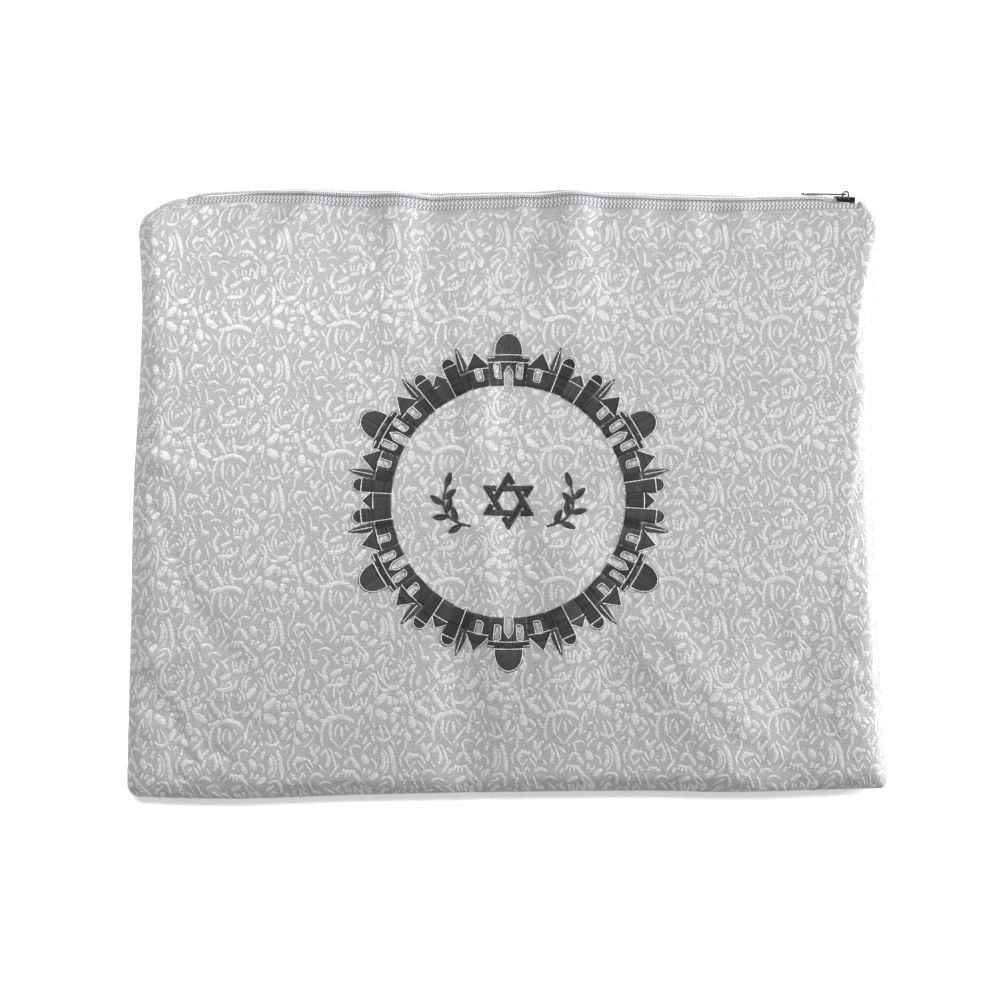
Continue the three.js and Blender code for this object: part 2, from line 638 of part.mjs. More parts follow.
// Slab that follows the front's facets at a small height, from which the embroidery is cut
function frontSlab(reach) {
  const inside = (i, j) => {
    const p = bagPoint(i, j, 0, false);
    return Math.abs(p.x) < reach && Math.abs(p.y - ringCentreY) < reach;
  };
  const middleColumn = Math.round(lastColumn / 2);
  const middleRow = Math.round(lastRow / 2);
  const wide = [...columnSteps.keys()].filter((k) => inside(k, middleRow));
  const tall = [...rowSteps.keys()].filter((k) => inside(middleColumn, k));
  const firstColumn = wide[0] - 1;
  const endColumn = wide[wide.length - 1] + 1;
  const firstRow = tall[0] - 1;
  const endRow = tall[tall.length - 1] + 1;
  const across = endColumn - firstColumn + 1;
  const count = across * (endRow - firstRow + 1);
  const points = [];
  const triangles = [];
  for (const lift of [threadGap + threadHeight, threadGap]) {
    for (let j = firstRow; j <= endRow; j += 1) {
      for (let i = firstColumn; i <= endColumn; i += 1) {
        points.push(bagPoint(i, j, 0, false).add(new THREE.Vector3(0, 0, lift)));
      }
    }
  }
  const at = (i, j) => (j - firstRow) * across + i - firstColumn;
  for (let j = firstRow; j < endRow; j += 1) {
    for (let i = firstColumn; i < endColumn; i += 1) {
      const [a, b, c, d] = [at(i, j), at(i + 1, j), at(i + 1, j + 1), at(i, j + 1)];
      triangles.push([a, b, c], [a, c, d]);
      triangles.push([count + a, count + c, count + b], [count + a, count + d, count + c]);
    }
  }
  const rim = [];
  for (let i = firstColumn; i < endColumn; i += 1) rim.push(at(i, firstRow));
  for (let j = firstRow; j < endRow; j += 1) rim.push(at(endColumn, j));
  for (let i = endColumn; i > firstColumn; i -= 1) rim.push(at(i, endRow));
  for (let j = endRow; j > firstRow; j -= 1) rim.push(at(firstColumn, j));
  rim.forEach((a, k) => {
    const b = rim[(k + 1) % rim.length];
    triangles.push([a, count + a, count + b], [a, count + b, b]);
  });
  return toSolid(meshFrom(points, triangles));
}

// Upright solid on an outline given round the ring's centre, high enough to cross the slab
const cutHeight = seamHeight + edgeRise + domeRise + 2 * foldHeight + 10;
function upright(outline) {
  const centred = outline.map((p) => new THREE.Vector2(p.x, p.y + ringCentreY));
  if (THREE.ShapeUtils.isClockWise(centred)) centred.reverse();
  return toSolid(prism(centred, cutHeight));
}

// Point of the ring: degrees clockwise from the zip side, share of the band from its inner edge
function ringPoint(degrees, share) {
  const radius = ringInner + share * (ringOuter - ringInner);
  return new THREE.Vector2(radius * Math.sin(degrees * rad), radius * Math.cos(degrees * rad));
}

// Outline of one building, tree or window on the ring
function townOutline(form, at, half, foot, eaves, top) {
  const outline = [ringPoint(at - half, foot), ringPoint(at - half, eaves)];
  if (form === 'gable') outline.push(ringPoint(at, top));
  if (form === 'cypress') {
    const rise = top - eaves;
    outline.push(ringPoint(at - 0.8 * half, eaves + 0.45 * rise), ringPoint(at, top));
    outline.push(ringPoint(at + 0.8 * half, eaves + 0.45 * rise));
  }
  if (form === 'dome') {
    for (let k = 1; k < domeSteps; k += 1) {
      const angle = Math.PI * (k / domeSteps);
      outline.push(ringPoint(at - half * Math.cos(angle), eaves + (top - eaves) * Math.sin(angle)));
    }
  }
  outline.push(ringPoint(at + half, eaves), ringPoint(at + half, foot));
  return outline;
}

// Ring of plain houses, cupolas and cypresses with their windows left open
function embroideredRing(slab) {
  const wallSteps = 30;
  const circle = (share) => {
    const points = [];
    for (let k = 0; k < wallSteps; k += 1) points.push(ringPoint((360 * k) / wallSteps, share));
    return points;
  };
  let solid = upright(circle(bandWall)).subtract(upright(circle(0)));
  const sector = 360 / townRepeats;
  const each = (table, use) => {
    for (let k = 0; k < townRepeats; k += 1) {
      for (const row of table) {
        const twice = row.at > 0 && row.at < sector / 2;
        for (const side of twice ? [-1, 1] : [1]) use(row, k * sector + side * row.at);
      }
    }
  };
  each(townTable, (row, at) => {
    solid = solid.add(upright(townOutline(row.form, at, row.half, row.foot, row.eaves, row.top)));
  });
  each(windowTable, (row, at) => {
    solid = solid.subtract(upright(townOutline(row.form, at, row.half, row.foot, row.eaves, row.top)));
  });
  return toGeometry(solid.intersect(slab));
}

// Six-pointed star of two laced triangles in the middle of the ring
function embroideredStar(slab) {
  const triangle = (radius, turn) => [0, 120, 240].map((angle) => {
    const at = (angle + turn) * rad;
    return new THREE.Vector2(radius * Math.sin(at), radius * Math.cos(at));
  });
  const frame = (turn) => {
    const hole = upright(triangle(starRadius - 2 * starStroke, turn));
    return upright(triangle(starRadius, turn)).subtract(hole);
  };
  return toGeometry(frame(0).add(frame(180)).intersect(slab));
}

// Olive sprig beside the star: side -1 is the left one, 1 the right one
function embroideredSprig(side, slab) {
  const stem = new THREE.QuadraticBezierCurve(
    new THREE.Vector2(side * 0.5 * sprigReach, -0.34 * sprigReach),
    new THREE.Vector2(side * 0.98 * sprigReach, -0.26 * sprigReach),
    new THREE.Vector2(side * 0.82 * sprigReach, 0.2 * sprigReach),
  );
  const stemHalf = 0.55;
  const left = [];
  const right = [];
  for (let k = 0; k <= 6; k += 1) {
    const point = stem.getPoint(k / 6);
    const run = stem.getTangent(k / 6);
    left.push(new THREE.Vector2(point.x - stemHalf * run.y, point.y + stemHalf * run.x));
    right.unshift(new THREE.Vector2(point.x + stemHalf * run.y, point.y - stemHalf * run.x));
  }
  let solid = upright([...left, ...right]);
  const leaf = (place, turn) => {
    const foot = stem.getPoint(place);
    const run = stem.getTangent(place).rotateAround(new THREE.Vector2(), turn * rad);
    const point = (along, across) => new THREE.Vector2(
      foot.x + leafLength * along * run.x - leafWidth * across * run.y,
      foot.y + leafLength * along * run.y + leafWidth * across * run.x,
    );
    const below = [point(-0.04, 0), point(0.25, -0.4), point(0.6, -0.42)];
    const above = [point(1, 0), point(0.6, 0.42), point(0.25, 0.4)];
    return upright([...below, ...above]);
  };
  for (const place of [0.12, 0.4, 0.68]) {
    solid = solid.add(leaf(place, 48)).add(leaf(place + 0.1, -48));
  }
  return toGeometry(solid.add(leaf(0.97, 0)).intersect(slab));
}

const cloth = new THREE.MeshStandardMaterial({ color: 0xcacacd, roughness: 0.55, metalness: 0 });
const tape = new THREE.MeshStandardMaterial({ color: 0xbebfc3, roughness: 0.8, metalness: 0 });
const coil = new THREE.MeshStandardMaterial({ color: 0xe6e7ea, roughness: 0.45, metalness: 0 });
const metal = new THREE.MeshStandardMaterial({ color: 0x35302c, roughness: 0.35, metalness: 0.9 });
const thread = new THREE.MeshStandardMaterial({ color: 0x515351, roughness: 0.5, metalness: 0 });

function piece(name, geometry, material) {
  const mesh = new THREE.Mesh(geometry, material);
  mesh.name = name;
  return mesh;
}

function buildBag() {
  const bag = new THREE.Group();
  const shell = toSolid(bagForm(0)).subtract(toSolid(bagForm(clothWall)));
  const wide = 2 * bagWidth;
  const above = toSolid(box(-wide, wide, -wide, wide, seamHeight + seamGap / 2, cutHeight));
  const below = toSolid(box(-wide, wide, -wide, wide, -cutHeight, seamHeight - seamGap / 2));
  const past = zipWidth / 2;
  const frontPanel = shell.intersect(above).subtract(toSolid(zipSpace(0, past)));
  const backPanel = shell.intersect(below).subtract(toSolid(zipSpace(past, 0)));
  const slab = frontSlab(ringOuter + threadHeight);

  bag.add(piece('front_panel', toGeometry(frontPanel), cloth));
  bag.add(piece('back_panel', toGeometry(backPanel), cloth));
  bag.add(piece('zip_tape_front', zipTape(-1), tape));
  bag.add(piece('zip_tape_back', zipTape(1), tape));
  bag.add(piece('zip_coil_front', zipCoil(-1), coil));
  bag.add(piece('zip_coil_back', zipCoil(1), coil));
  bag.add(piece('embroidered_ring', embroideredRing(slab), thread));
  bag.add(piece('embroidered_star', embroideredStar(slab), thread));
  bag.add(piece('embroidered_sprig_left', embroideredSprig(-1, slab), thread));
  bag.add(piece('embroidered_sprig_right', embroideredSprig(1, slab), thread));

  const sliderGroup = new THREE.Group();
  sliderGroup.applyMatrix4(sliderMatrix());
  sliderGroup.add(piece('zip_slider', slider(), metal));
  const tab = piece('pull_tab', pullTab(), metal);
  tab.position.z = pivotHeight;
  tab.rotation.y = -tabDroop;
  sliderGroup.add(tab);
  bag.add(sliderGroup);
  return bag;
}

export default buildBag();
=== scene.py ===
import math

import bpy
import numpy as np
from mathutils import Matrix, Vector
from mathutils.bvhtree import BVHTree


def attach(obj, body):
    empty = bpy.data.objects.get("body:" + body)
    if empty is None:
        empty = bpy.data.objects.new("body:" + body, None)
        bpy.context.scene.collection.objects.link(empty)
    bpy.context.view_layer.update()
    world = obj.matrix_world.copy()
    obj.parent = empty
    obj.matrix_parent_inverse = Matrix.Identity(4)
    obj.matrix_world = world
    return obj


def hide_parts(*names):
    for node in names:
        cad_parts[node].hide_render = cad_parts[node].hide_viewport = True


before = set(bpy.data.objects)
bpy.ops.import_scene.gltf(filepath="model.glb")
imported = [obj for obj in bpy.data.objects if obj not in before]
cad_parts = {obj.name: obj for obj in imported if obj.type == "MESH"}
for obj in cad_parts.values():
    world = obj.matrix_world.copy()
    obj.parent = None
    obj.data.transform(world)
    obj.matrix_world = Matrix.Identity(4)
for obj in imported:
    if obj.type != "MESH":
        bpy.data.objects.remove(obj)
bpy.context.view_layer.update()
scene = bpy.context.scene

# A flat zipped bag of brocade lies on its back panel, with its zip along the far edge.
# Forms are worked out in millimetres and made in metres.
MM = 0.001

# Bag
bag_width = 357.2
bag_height = 290.8
seam_height = 5.0
edge_rise = 5.4
dome_rise = 6.4
side_roll = 8.0
slider_corner_roll = 4.0
bottom_roll = 8.0
top_roll = 6.0
left_corner_radius = 6.0
right_corner_radius = 3.0
fold_height = 4.4
cloth_wall = 1.3
edge_tuck = 0.45
edge_tuck_reach = 1.0
sewn_reach = 2.2
cloth_growth = 0.005
move_cap = 0.7
settle_frames = 20

# Zip
zip_width = 13.4
zip_left_end = -156.0
zip_right_end = 168.2
slider_place = 162.3
slider_length = 11.2
slider_front_width = 7.2
wedge_width = 1.8
wedge_start = slider_place + slider_length / 2 - 3.4
tape_thickness = 0.9
tape_drop = 0.35
tape_hidden = 4.8
coil_width = 4.0
piece_gap = 0.3
tooth_pitch = 1.05
zip_blend_left = 5.0
end_tuck = 1.0

# Embroidery
ring_inner = 55.0
ring_outer = 83.0
ring_centre_y = -6.4
star_radius = 14.2
star_stroke = 2.7
sprig_reach = 35.5
leaf_length = 8.6
leaf_width = 3.5
stitch_length = 3.4
stitch_pitch = 0.46
stitch_width = 0.54
stitch_height = 0.34

# Brocade: rise of its figure, and the size and upper left corner of one repeat
figure_rise = 0.17
repeat_size = (51.6, 62.0)
repeat_corner = (-168.85, -41.4)

# Fineness of the cloth
roll_steps = 8
cloth_columns = 176
cloth_rows = 150

rng = np.random.default_rng(7)
half_width = bag_width / 2
half_height = bag_height / 2

side_table = {
    "up": [0.0, 0.3, 0.5, 0.68, 0.82, 0.91, 0.95, 0.97, 0.985, 1.0],
    "left": [1.0, 0.998, 0.998, 0.988, 0.984, 0.993, 0.996, 0.984, 0.954, 0.915],
    "right": [0.992, 0.974, 0.97, 0.973, 0.98, 0.997, 1.0, 0.99, 0.974, 0.96],
}
bottom_table = {
    "along": [-1.0, -0.72, -0.4, 0.0, 0.36, 0.58, 0.9, 1.0],
    "reach": [0.992, 1.0, 0.988, 0.979, 0.975, 0.979, 0.969, 0.966],
}
top_table = {
    "along": [-0.92, -0.83, -0.6, -0.45, -0.2, 0.14, 0.36, 0.68, 0.81, 0.9, 0.97],
    "reach": [0.965, 0.983, 0.997, 1.0, 0.994, 1.0, 0.994, 0.983, 0.975, 0.969, 0.964],
}
zip_table = {
    "along": [-0.9, -0.72, -0.58, -0.4, 0.1, 0.6, 0.74, 0.84, 0.9, 0.96],
    "turn": [0.45, 0.42, 0.3, 0.2, 0.17, 0.19, 0.29, 0.39, 0.425, 0.44],
}

# Folds: x1, y1, x2, y2 in shares of half the bag, breadth in shares of half the width, rise
fold_table = [
    (-0.285, 0.94, -0.285, 0.5, 0.045, 1.0),
    (-0.215, 0.92, -0.2, 0.5, 0.04, -0.8),
    (0.05, 0.9, -0.12, 0.51, 0.042, 0.75),
    (0.088, 0.92, 0.09, 0.76, 0.04, -0.7),
    (0.18, 0.94, 0.175, 0.48, 0.05, 1.2),
    (0.012, 0.36, 0.0, 0.06, 0.035, -0.6),
    (-0.15, 0.33, -0.15, 0.03, 0.04, -0.5),
    (-0.085, 0.33, -0.085, 0.06, 0.04, 0.6),
    (-0.045, -0.13, -0.045, -0.4, 0.04, 0.6),
    (0.02, -0.13, 0.02, -0.38, 0.04, -0.6),
    (0.16, -0.2, 0.13, -0.7, 0.055, 0.7),
    (-0.125, -0.52, -0.1, -0.94, 0.045, -0.8),
    (0.38, -0.5, 0.62, -0.88, 0.055, 0.6),
    (0.72, -0.52, 0.76, -0.86, 0.06, -0.6),
    (-0.54, 0.93, -0.64, 0.76, 0.035, 0.6),
    (0.34, 0.93, 0.35, 0.82, 0.035, 0.4),
]

# Short pleats where the cloth is sewn to the zip and along the side seams
pleat_table = [
    (-0.42, 0.93, -0.43, 0.81, 0.02, 0.35),
    (-0.36, 0.93, -0.35, 0.82, 0.018, -0.3),
    (0.044, 0.93, 0.05, 0.82, 0.018, 0.3),
    (0.25, 0.93, 0.245, 0.8, 0.02, -0.35),
    (0.48, 0.92, 0.5, 0.8, 0.02, 0.35),
    (0.56, 0.92, 0.57, 0.82, 0.018, -0.25),
    (0.63, 0.92, 0.64, 0.81, 0.02, 0.3),
    (-0.7, 0.9, -0.74, 0.78, 0.022, 0.3),
    (0.95, -0.62, 0.84, -0.6, 0.025, 0.25),
    (0.95, 0.3, 0.86, 0.33, 0.025, 0.2),
    (-0.95, 0.1, -0.86, 0.06, 0.025, 0.2),
    (-0.93, -0.55, -0.82, -0.5, 0.025, 0.25),
]

# Strokes of one repeat of the brocade, in millimetres and degrees from its upper left corner: x, y
# downward, heading, length, width and bend
figure_table = [
    (7, 1.2, 35, 7, 3.6, 0), (2, 1.5, 100, 6, 0.9, -20), (3.2, 6.2, 70, 3, 0.8, 0),
    (6.8, 9.2, 76, 6.6, 1.2, 8), (9.3, 8.5, 62, 6.5, 0.9, 15), (8, 13.4, 180, 8, 1.4, 130),
    (12.3, 3, 95, 5, 2.2, 0), (13.9, 1.8, 40, 2.6, 0.8, 60), (16.5, 4, 105, 3.4, 0.9, 0),
    (17.6, 5, 120, 2.6, 0.8, 0), (21, 5.3, 80, 6.2, 3.4, 0), (20.5, 0.4, 90, 3.4, 1.6, 0),
    (25, 6.6, 50, 5, 1.7, 15), (13.2, 8.2, 112, 6.4, 2, -30), (16, 9.9, -45, 4.4, 1.2, -50),
    (19, 11.8, 62, 4.6, 2.7, 0), (18.3, 8.6, 80, 2.8, 0.8, 0), (23.3, 9.8, -10, 3.4, 1.9, 0),
    (25.2, 13, 132, 8.4, 1, 40), (12, 14.6, 50, 3, 0.8, 0), (14.7, 14.4, -40, 3.2, 0.9, 0),
    (17.8, 16, 95, 5, 1, 15), (16.1, 20, 122, 4.2, 0.9, 0), (15.3, 23.2, 85, 5, 0.9, -20),
    (3.7, 17.8, 112, 4.2, 1.4, -50), (9.9, 23.5, 92, 14.5, 0.9, 115), (7.9, 23.2, 95, 9.4, 1.9, 85),
    (3.9, 23.6, 62, 6.4, 0.9, 120), (12.1, 22.6, 80, 14.4, 2, 25), (19, 21.2, -52, 5, 1.8, 0),
    (21.6, 20.6, 0, 4.8, 1.7, 0), (18.9, 24.8, 62, 5, 0.8, -10), (21.2, 24.8, -52, 4, 0.8, 0),
    (24.8, 25, 55, 5.4, 0.9, 0), (25.7, 22.7, 62, 5, 1.1, 0), (26, 17, 88, 4.6, 1.6, 0),
    (21.3, 28.6, 118, 4, 0.9, 0), (22.8, 28.4, 60, 2.6, 0.8, 0), (20.9, 31, 62, 4, 0.9, 0),
    (15.6, 30.6, 70, 3.6, 1.5, 0), (17.6, 27.9, 35, 3, 0.9, 0), (18.4, 29.6, 22, 3.2, 0.9, 0),
    (3, 30, -35, 5.2, 2.3, 0), (0.8, 28, -40, 3, 1.2, 0), (8.4, 30.4, -12, 5.4, 1, 40),
    (11.2, 31.2, 60, 3, 1.2, 0), (2, 9.4, 100, 2.6, 0.8, 0), (3, 12.4, 80, 3, 1.4, 0),
    (0.9, 14.9, -35, 2.8, 0.9, 0), (12, 33.8, 95, 5.8, 1.2, 60), (5, 35.2, -50, 4.4, 1, 0),
    (7.6, 33.3, -35, 3.6, 1, 0), (5.9, 38, -55, 4.8, 1.8, 0), (8, 36.4, 45, 2.6, 1.9, 0),
    (7.5, 42.4, 100, 13.4, 1.1, -80), (6.6, 46.6, 62, 9.4, 1, -40), (9.3, 43.5, 85, 4.2, 1.2, 0),
    (9.9, 46.1, 60, 3.2, 0.8, 0), (11.3, 39.9, -45, 2.2, 0.8, 0), (12, 44.4, -60, 3.2, 1.8, 0),
    (14.2, 43.3, 20, 1.9, 1.5, 0), (15.8, 42, 60, 4, 1.1, 0), (17, 40.6, 62, 4.6, 0.9, 20),
    (18.4, 41.6, 80, 6.2, 0.9, 25), (17, 47.3, 118, 6.8, 1.5, 20), (12.6, 50.9, -5, 5.8, 2.4, 0),
    (15.6, 45.8, -40, 2.4, 0.8, 0), (13, 38.1, 20, 2.6, 1.2, 0), (15.7, 38.8, 95, 2, 0.9, 0),
    (8.5, 52.2, 5, 3.6, 1.9, 0), (6.4, 50.8, 65, 3, 0.8, 0), (9.8, 50.2, 60, 2.6, 0.8, 0),
    (4.6, 50, 92, 11.4, 1.7, 30), (2.4, 46.8, 60, 4.6, 0.9, 20), (0.5, 47.4, 60, 2.8, 1.3, 0),
    (2, 52.1, 115, 5.2, 0.9, 0), (6.8, 56.2, -40, 7.2, 3.3, 0), (10.8, 57, 90, 4.6, 1.9, 0),
    (13.5, 57.5, 10, 2.9, 2.4, 0), (16, 57.3, 80, 3.2, 1, 0), (18.1, 56.5, 75, 5.6, 2.7, 0),
    (21, 55.2, 85, 4.8, 1.9, 0), (24, 52.5, 0, 8.2, 0.9, 330), (24, 58.6, -35, 4.2, 2.7, 0),
    (26.3, 56.8, -60, 3.2, 1.2, 0), (14, 61.2, 0, 4.4, 2.1, 0), (17.6, 61, 10, 1.7, 1.1, 0),
    (25.8, 61.6, 20, 5.4, 3.1, 0), (19.6, 59.6, 62, 4.8, 0.8, 10), (15.3, 53.6, -30, 3.6, 1.7, 0),
    (17.3, 51.8, 50, 2.4, 0.8, 0), (20.6, 47.6, 100, 9.8, 1, -65), (24.2, 48.2, 110, 5.4, 2, 0),
    (21.4, 42.3, -45, 4.8, 1.9, 0), (25.9, 35, 82, 8.2, 1, 40), (20.5, 36.3, 55, 2.8, 0.8, 0),
    (22.3, 34.8, 75, 4.2, 0.8, 0), (19.3, 38.5, 110, 2.4, 1.2, 0), (21.7, 38.8, 60, 2.8, 0.9, 0),
    (17.2, 33, 115, 3, 0.9, 0), (17, 36.2, 90, 2.6, 0.8, 0), (3.1, 41.4, 80, 3.2, 1.3, 0),
    (1, 41.3, -40, 3.2, 1, 0), (3, 44.4, 20, 2.6, 0.9, 0), (1, 60.8, -50, 5.2, 2.3, 0),
    (40, 1.5, 5, 15.4, 1.9, 110), (34.8, 8.7, 88, 8.8, 1.6, -40), (37.8, 15, 52, 5.2, 0.8, 0),
    (42.4, 13, -50, 10.4, 1.1, 0), (37, 8, -75, 6.8, 0.9, 70), (40, 9, 85, 5.8, 1.5, 0),
    (42.5, 7, 60, 3.4, 0.9, 0), (30.7, 9, 97, 12.4, 1.3, -55), (32.6, 3, -20, 6.2, 1.7, -80),
    (28.6, 7.1, 60, 4.8, 1.2, 0), (27.6, 1.2, 30, 4.2, 2.6, 0), (47.2, 9.8, 95, 5.8, 1.7, 45),
    (49, 11.2, -50, 1.7, 1.1, 0), (48.2, 4.2, 108, 7.2, 1.1, -60), (49.9, 4, 85, 3.8, 0.9, 0),
    (51.4, 7.2, -30, 3.2, 0.9, 0), (28, 17.2, 125, 6.4, 1.4, -50), (28.1, 21.5, 105, 4.2, 1.6, 0),
    (31.5, 18.2, -45, 4.2, 1.1, 0), (33.1, 17.8, 80, 3.6, 0.8, 0), (34.9, 17.1, 55, 3.2, 1, 0),
    (34.1, 22, 95, 7, 1.5, 80), (36.5, 21.8, 75, 7.4, 1.1, 15), (38.4, 19.4, 42, 4.2, 1.4, 0),
    (37.9, 25, 130, 3.4, 0.9, 60), (36, 27.4, 130, 5.8, 0.9, 0), (44.3, 18.3, 78, 4.8, 1.1, 0),
    (46.5, 15.4, 0, 5.4, 0.9, 100), (41.6, 17.1, 30, 1.6, 1.2, 0), (42.4, 22.2, -50, 5.4, 1.5, 80),
    (46.4, 23.6, 60, 6.2, 1.9, 0), (50.8, 22, 60, 5.2, 3.1, 0), (43.5, 27.4, 5, 4.8, 1.6, 0),
    (41.9, 28.7, 105, 2.4, 0.9, 0), (43.6, 28.9, 88, 2.2, 0.8, 0), (45.8, 28.2, 80, 3.6, 1.3, 0),
    (40.4, 27.4, 110, 3.2, 1, 0), (50.1, 27.6, 115, 3.2, 1.1, 0), (47.5, 30.6, 60, 3.8, 1.9, 0),
    (28.7, 27.9, 5, 7.4, 1.3, 140), (38, 28.9, -50, 3.2, 1.2, 0), (50.8, 13.2, -60, 4.2, 1.2, 0),
    (51, 16.6, -50, 4.2, 0.9, 0), (30.4, 25.1, 60, 3.2, 1, 0), (42.6, 33, -28, 5.8, 2, 35),
    (41.2, 37.6, 85, 3.8, 1.2, 0), (42.8, 37.6, 85, 3.2, 0.9, 0), (43, 40.4, 0, 4.6, 1.7, 0),
    (44.8, 37.6, -75, 5.2, 1.1, 0), (46, 36.6, 60, 3.6, 0.9, 0), (48.3, 37, 95, 4.2, 1.2, 0),
    (47.3, 39.2, 100, 4.2, 2.2, 0), (48.6, 34.3, 50, 5.2, 0.9, 0), (50.2, 33, 52, 4.8, 0.8, 0),
    (51.4, 37, 100, 5.6, 2.8, 0), (32.3, 31.7, 0, 7.4, 0.9, 120), (32.4, 36.1, 50, 3.2, 1.1, 0),
    (33.9, 38.1, 60, 3, 1.1, 0), (36.7, 36.8, 45, 3.4, 1.1, 0), (38, 38.6, 55, 3.2, 1.4, 0),
    (37.6, 35.6, -45, 2.8, 0.9, 0), (27.6, 37.8, 10, 3.6, 2.2, 0), (31.9, 42.2, 100, 9, 1.6, -80),
    (32.8, 45.9, 80, 3.6, 2.3, 0), (37.6, 43.2, -25, 6.4, 1.8, -20), (28.7, 46.6, 75, 7.2, 0.9, 25),
    (30, 43.6, 55, 3.6, 0.8, 0), (37.4, 49.2, -3, 8.6, 1.8, -30), (36, 47.1, -65, 2.8, 0.9, 0),
    (38.1, 46.9, -60, 3.2, 0.9, 0), (40.3, 47.1, 70, 4.2, 1.5, 0), (42.5, 46.9, -65, 5, 1.3, -20),
    (45.5, 46, 100, 8, 0.8, -75), (47.2, 46, 112, 7.4, 1.2, -100), (49.5, 51, -48, 6.8, 2.6, 0),
    (45.9, 51.4, 62, 6.8, 1, 25), (36.5, 52.6, 95, 4.6, 1, 0), (38.7, 52.4, 60, 3.2, 0.9, 0),
    (40.3, 52.1, -60, 3, 0.9, 0), (43.3, 52, -50, 2.2, 0.8, 0), (44, 60, -8, 10.6, 1.3, -150),
    (44.3, 54.2, 110, 4.2, 1.2, 0), (31.4, 51.6, 125, 5.2, 0.9, 0), (32.9, 52, 80, 2.8, 0.8, 0),
    (33.8, 58.8, 55, 9.4, 2.2, 18), (31.8, 55, 80, 3.2, 1.4, 0), (28.4, 57.1, 100, 3, 1.4, 0),
    (27.4, 51.6, -45, 3.2, 1.3, 0), (29.7, 53.6, 40, 2.8, 0.9, 0), (39.8, 58.6, 78, 8.4, 1.5, -25),
    (37.3, 57.6, 110, 3.6, 1.2, 0), (37.3, 60.6, 50, 3.8, 0.9, 0), (49.2, 57, 80, 3.6, 1.3, 0),
    (51.4, 57, 105, 3.8, 1.2, 0), (50.2, 58.6, 0, 2.2, 1.7, 0), (47.4, 60.6, -40, 4.2, 1.9, 0),
    (30.8, 61.5, 65, 3.2, 1, 0),
]


def smoothstep(low, high, value):
    share = np.clip((np.asarray(value, float) - low) / (high - low), 0, 1)
    return share * share * (3 - 2 * share)


def read_table(table, key, column, place):
    """Smooth value of one column of a table, read at a place in another column"""
    keys = np.array(table[key])
    values = np.array(table[column])
    last = len(keys) - 1
    before = np.maximum(np.arange(last + 1) - 1, 0)
    after = np.minimum(np.arange(last + 1) + 1, last)
    slope = (values[after] - values[before]) / (keys[after] - keys[before])
    at = np.clip(place, keys[0], keys[last])
    i = np.clip(np.searchsorted(keys, at, side="right") - 1, 0, last - 1)
    span = keys[i + 1] - keys[i]
    t = (at - keys[i]) / span
    ease = 3 * t**2 - 2 * t**3
    leave = t**3 - 2 * t**2 + t
    arrive = t**3 - t**2
    return (
        (1 - ease) * values[i]
        + leave * span * slope[i]
        + ease * values[i + 1]
        + arrive * span * slope[i + 1]
    )


def fold_rise(x, y):
    """Height that the folds and pleats add at places on the front"""
    rise = np.zeros(np.broadcast(x, y).shape)
    for x1, y1, x2, y2, breadth, height in fold_table + pleat_table:
        run_x = (x2 - x1) * half_width
        run_y = (y2 - y1) * half_height
        off_x = x - x1 * half_width
        off_y = y - y1 * half_height
        nearest = np.clip((off_x * run_x + off_y * run_y) / (run_x**2 + run_y**2), 0, 1)
        off = np.hypot(off_x - nearest * run_x, off_y - nearest * run_y)
        fade = 1 - 0.45 * nearest
        rise += height * fold_height * fade * np.exp(-0.5 * (off / (breadth * half_width)) ** 2)
    return rise


def front_rise(x, y):
    dome_x = 1 - np.minimum(np.abs(x) / half_width, 1) ** 2.4
    dome_y = 1 - np.minimum(np.abs(y) / half_height, 1) ** 2.4
    return edge_rise + dome_rise * dome_x * dome_y + fold_rise(x, y)


def inward(angle, share, roll_start, roll_end, span):
    """Distance in from both edges at one step: rolled edge, middle, rolled edge"""
    turned = 1 - np.cos(angle)
    middle = roll_start + share * (span - roll_start - roll_end)
    return np.where(share <= 0, roll_start * turned, np.where(share >= 1, span - roll_end * turned, middle))


def corner_draw(radius, distance):
    inside = np.clip(radius - distance, 0, radius)
    return radius - np.sqrt(radius**2 - inside**2)


def bag_points(across, upward, lower=False):
    """Points of the bag's surface; across and upward are arrays of roll angle and share"""
    across_angle, across_share = across[..., 0], across[..., 1]
    up_angle, up_share = upward[..., 0], upward[..., 1]
    up = inward(up_angle, up_share, bottom_roll, top_roll, bag_height) / bag_height
    near_slider = smoothstep(0.93, 0.975, up)
    right_roll = side_roll + (slider_corner_roll - side_roll) * near_slider
    left = -half_width * read_table(side_table, "up", "left", up)
    right = half_width * read_table(side_table, "up", "right", up)
    above_seam = inward(up_angle, up_share, bottom_roll, top_roll, bag_height - 6)
    left = left + corner_draw(left_corner_radius, above_seam)
    right = right - corner_draw(right_corner_radius, above_seam)
    x = left + inward(across_angle, across_share, side_roll, right_roll, right - left)
    low = -half_height * read_table(bottom_table, "along", "reach", x / half_width)
    high = half_height * read_table(top_table, "along", "reach", x / half_width)
    y = low + inward(up_angle, up_share, bottom_roll, top_roll, high - low)
    roll = np.sin(across_angle) * np.sin(up_angle)
    rise = -roll * seam_height if lower else roll * front_rise(x, y)
    return np.stack([x, y, seam_height + rise], axis=-1)


def eased_shares(count, pull):
    """Shares from 0 to 1 that lie closer together at both ends"""
    even = np.linspace(0, 1, count + 1)
    return even - pull * np.sin(2 * math.pi * even) / (2 * math.pi)


def edge_steps(shares, count):
    """Roll angle and share of each step across the bag"""
    rise = [(math.pi / 2 * k / count, 0.0) for k in range(count + 1)]
    flat = [(math.pi / 2, share) for share in shares[1:-1]]
    fall = [(math.pi / 2 * k / count, 1.0) for k in range(count, -1, -1)]
    return np.array(rise + flat + fall)


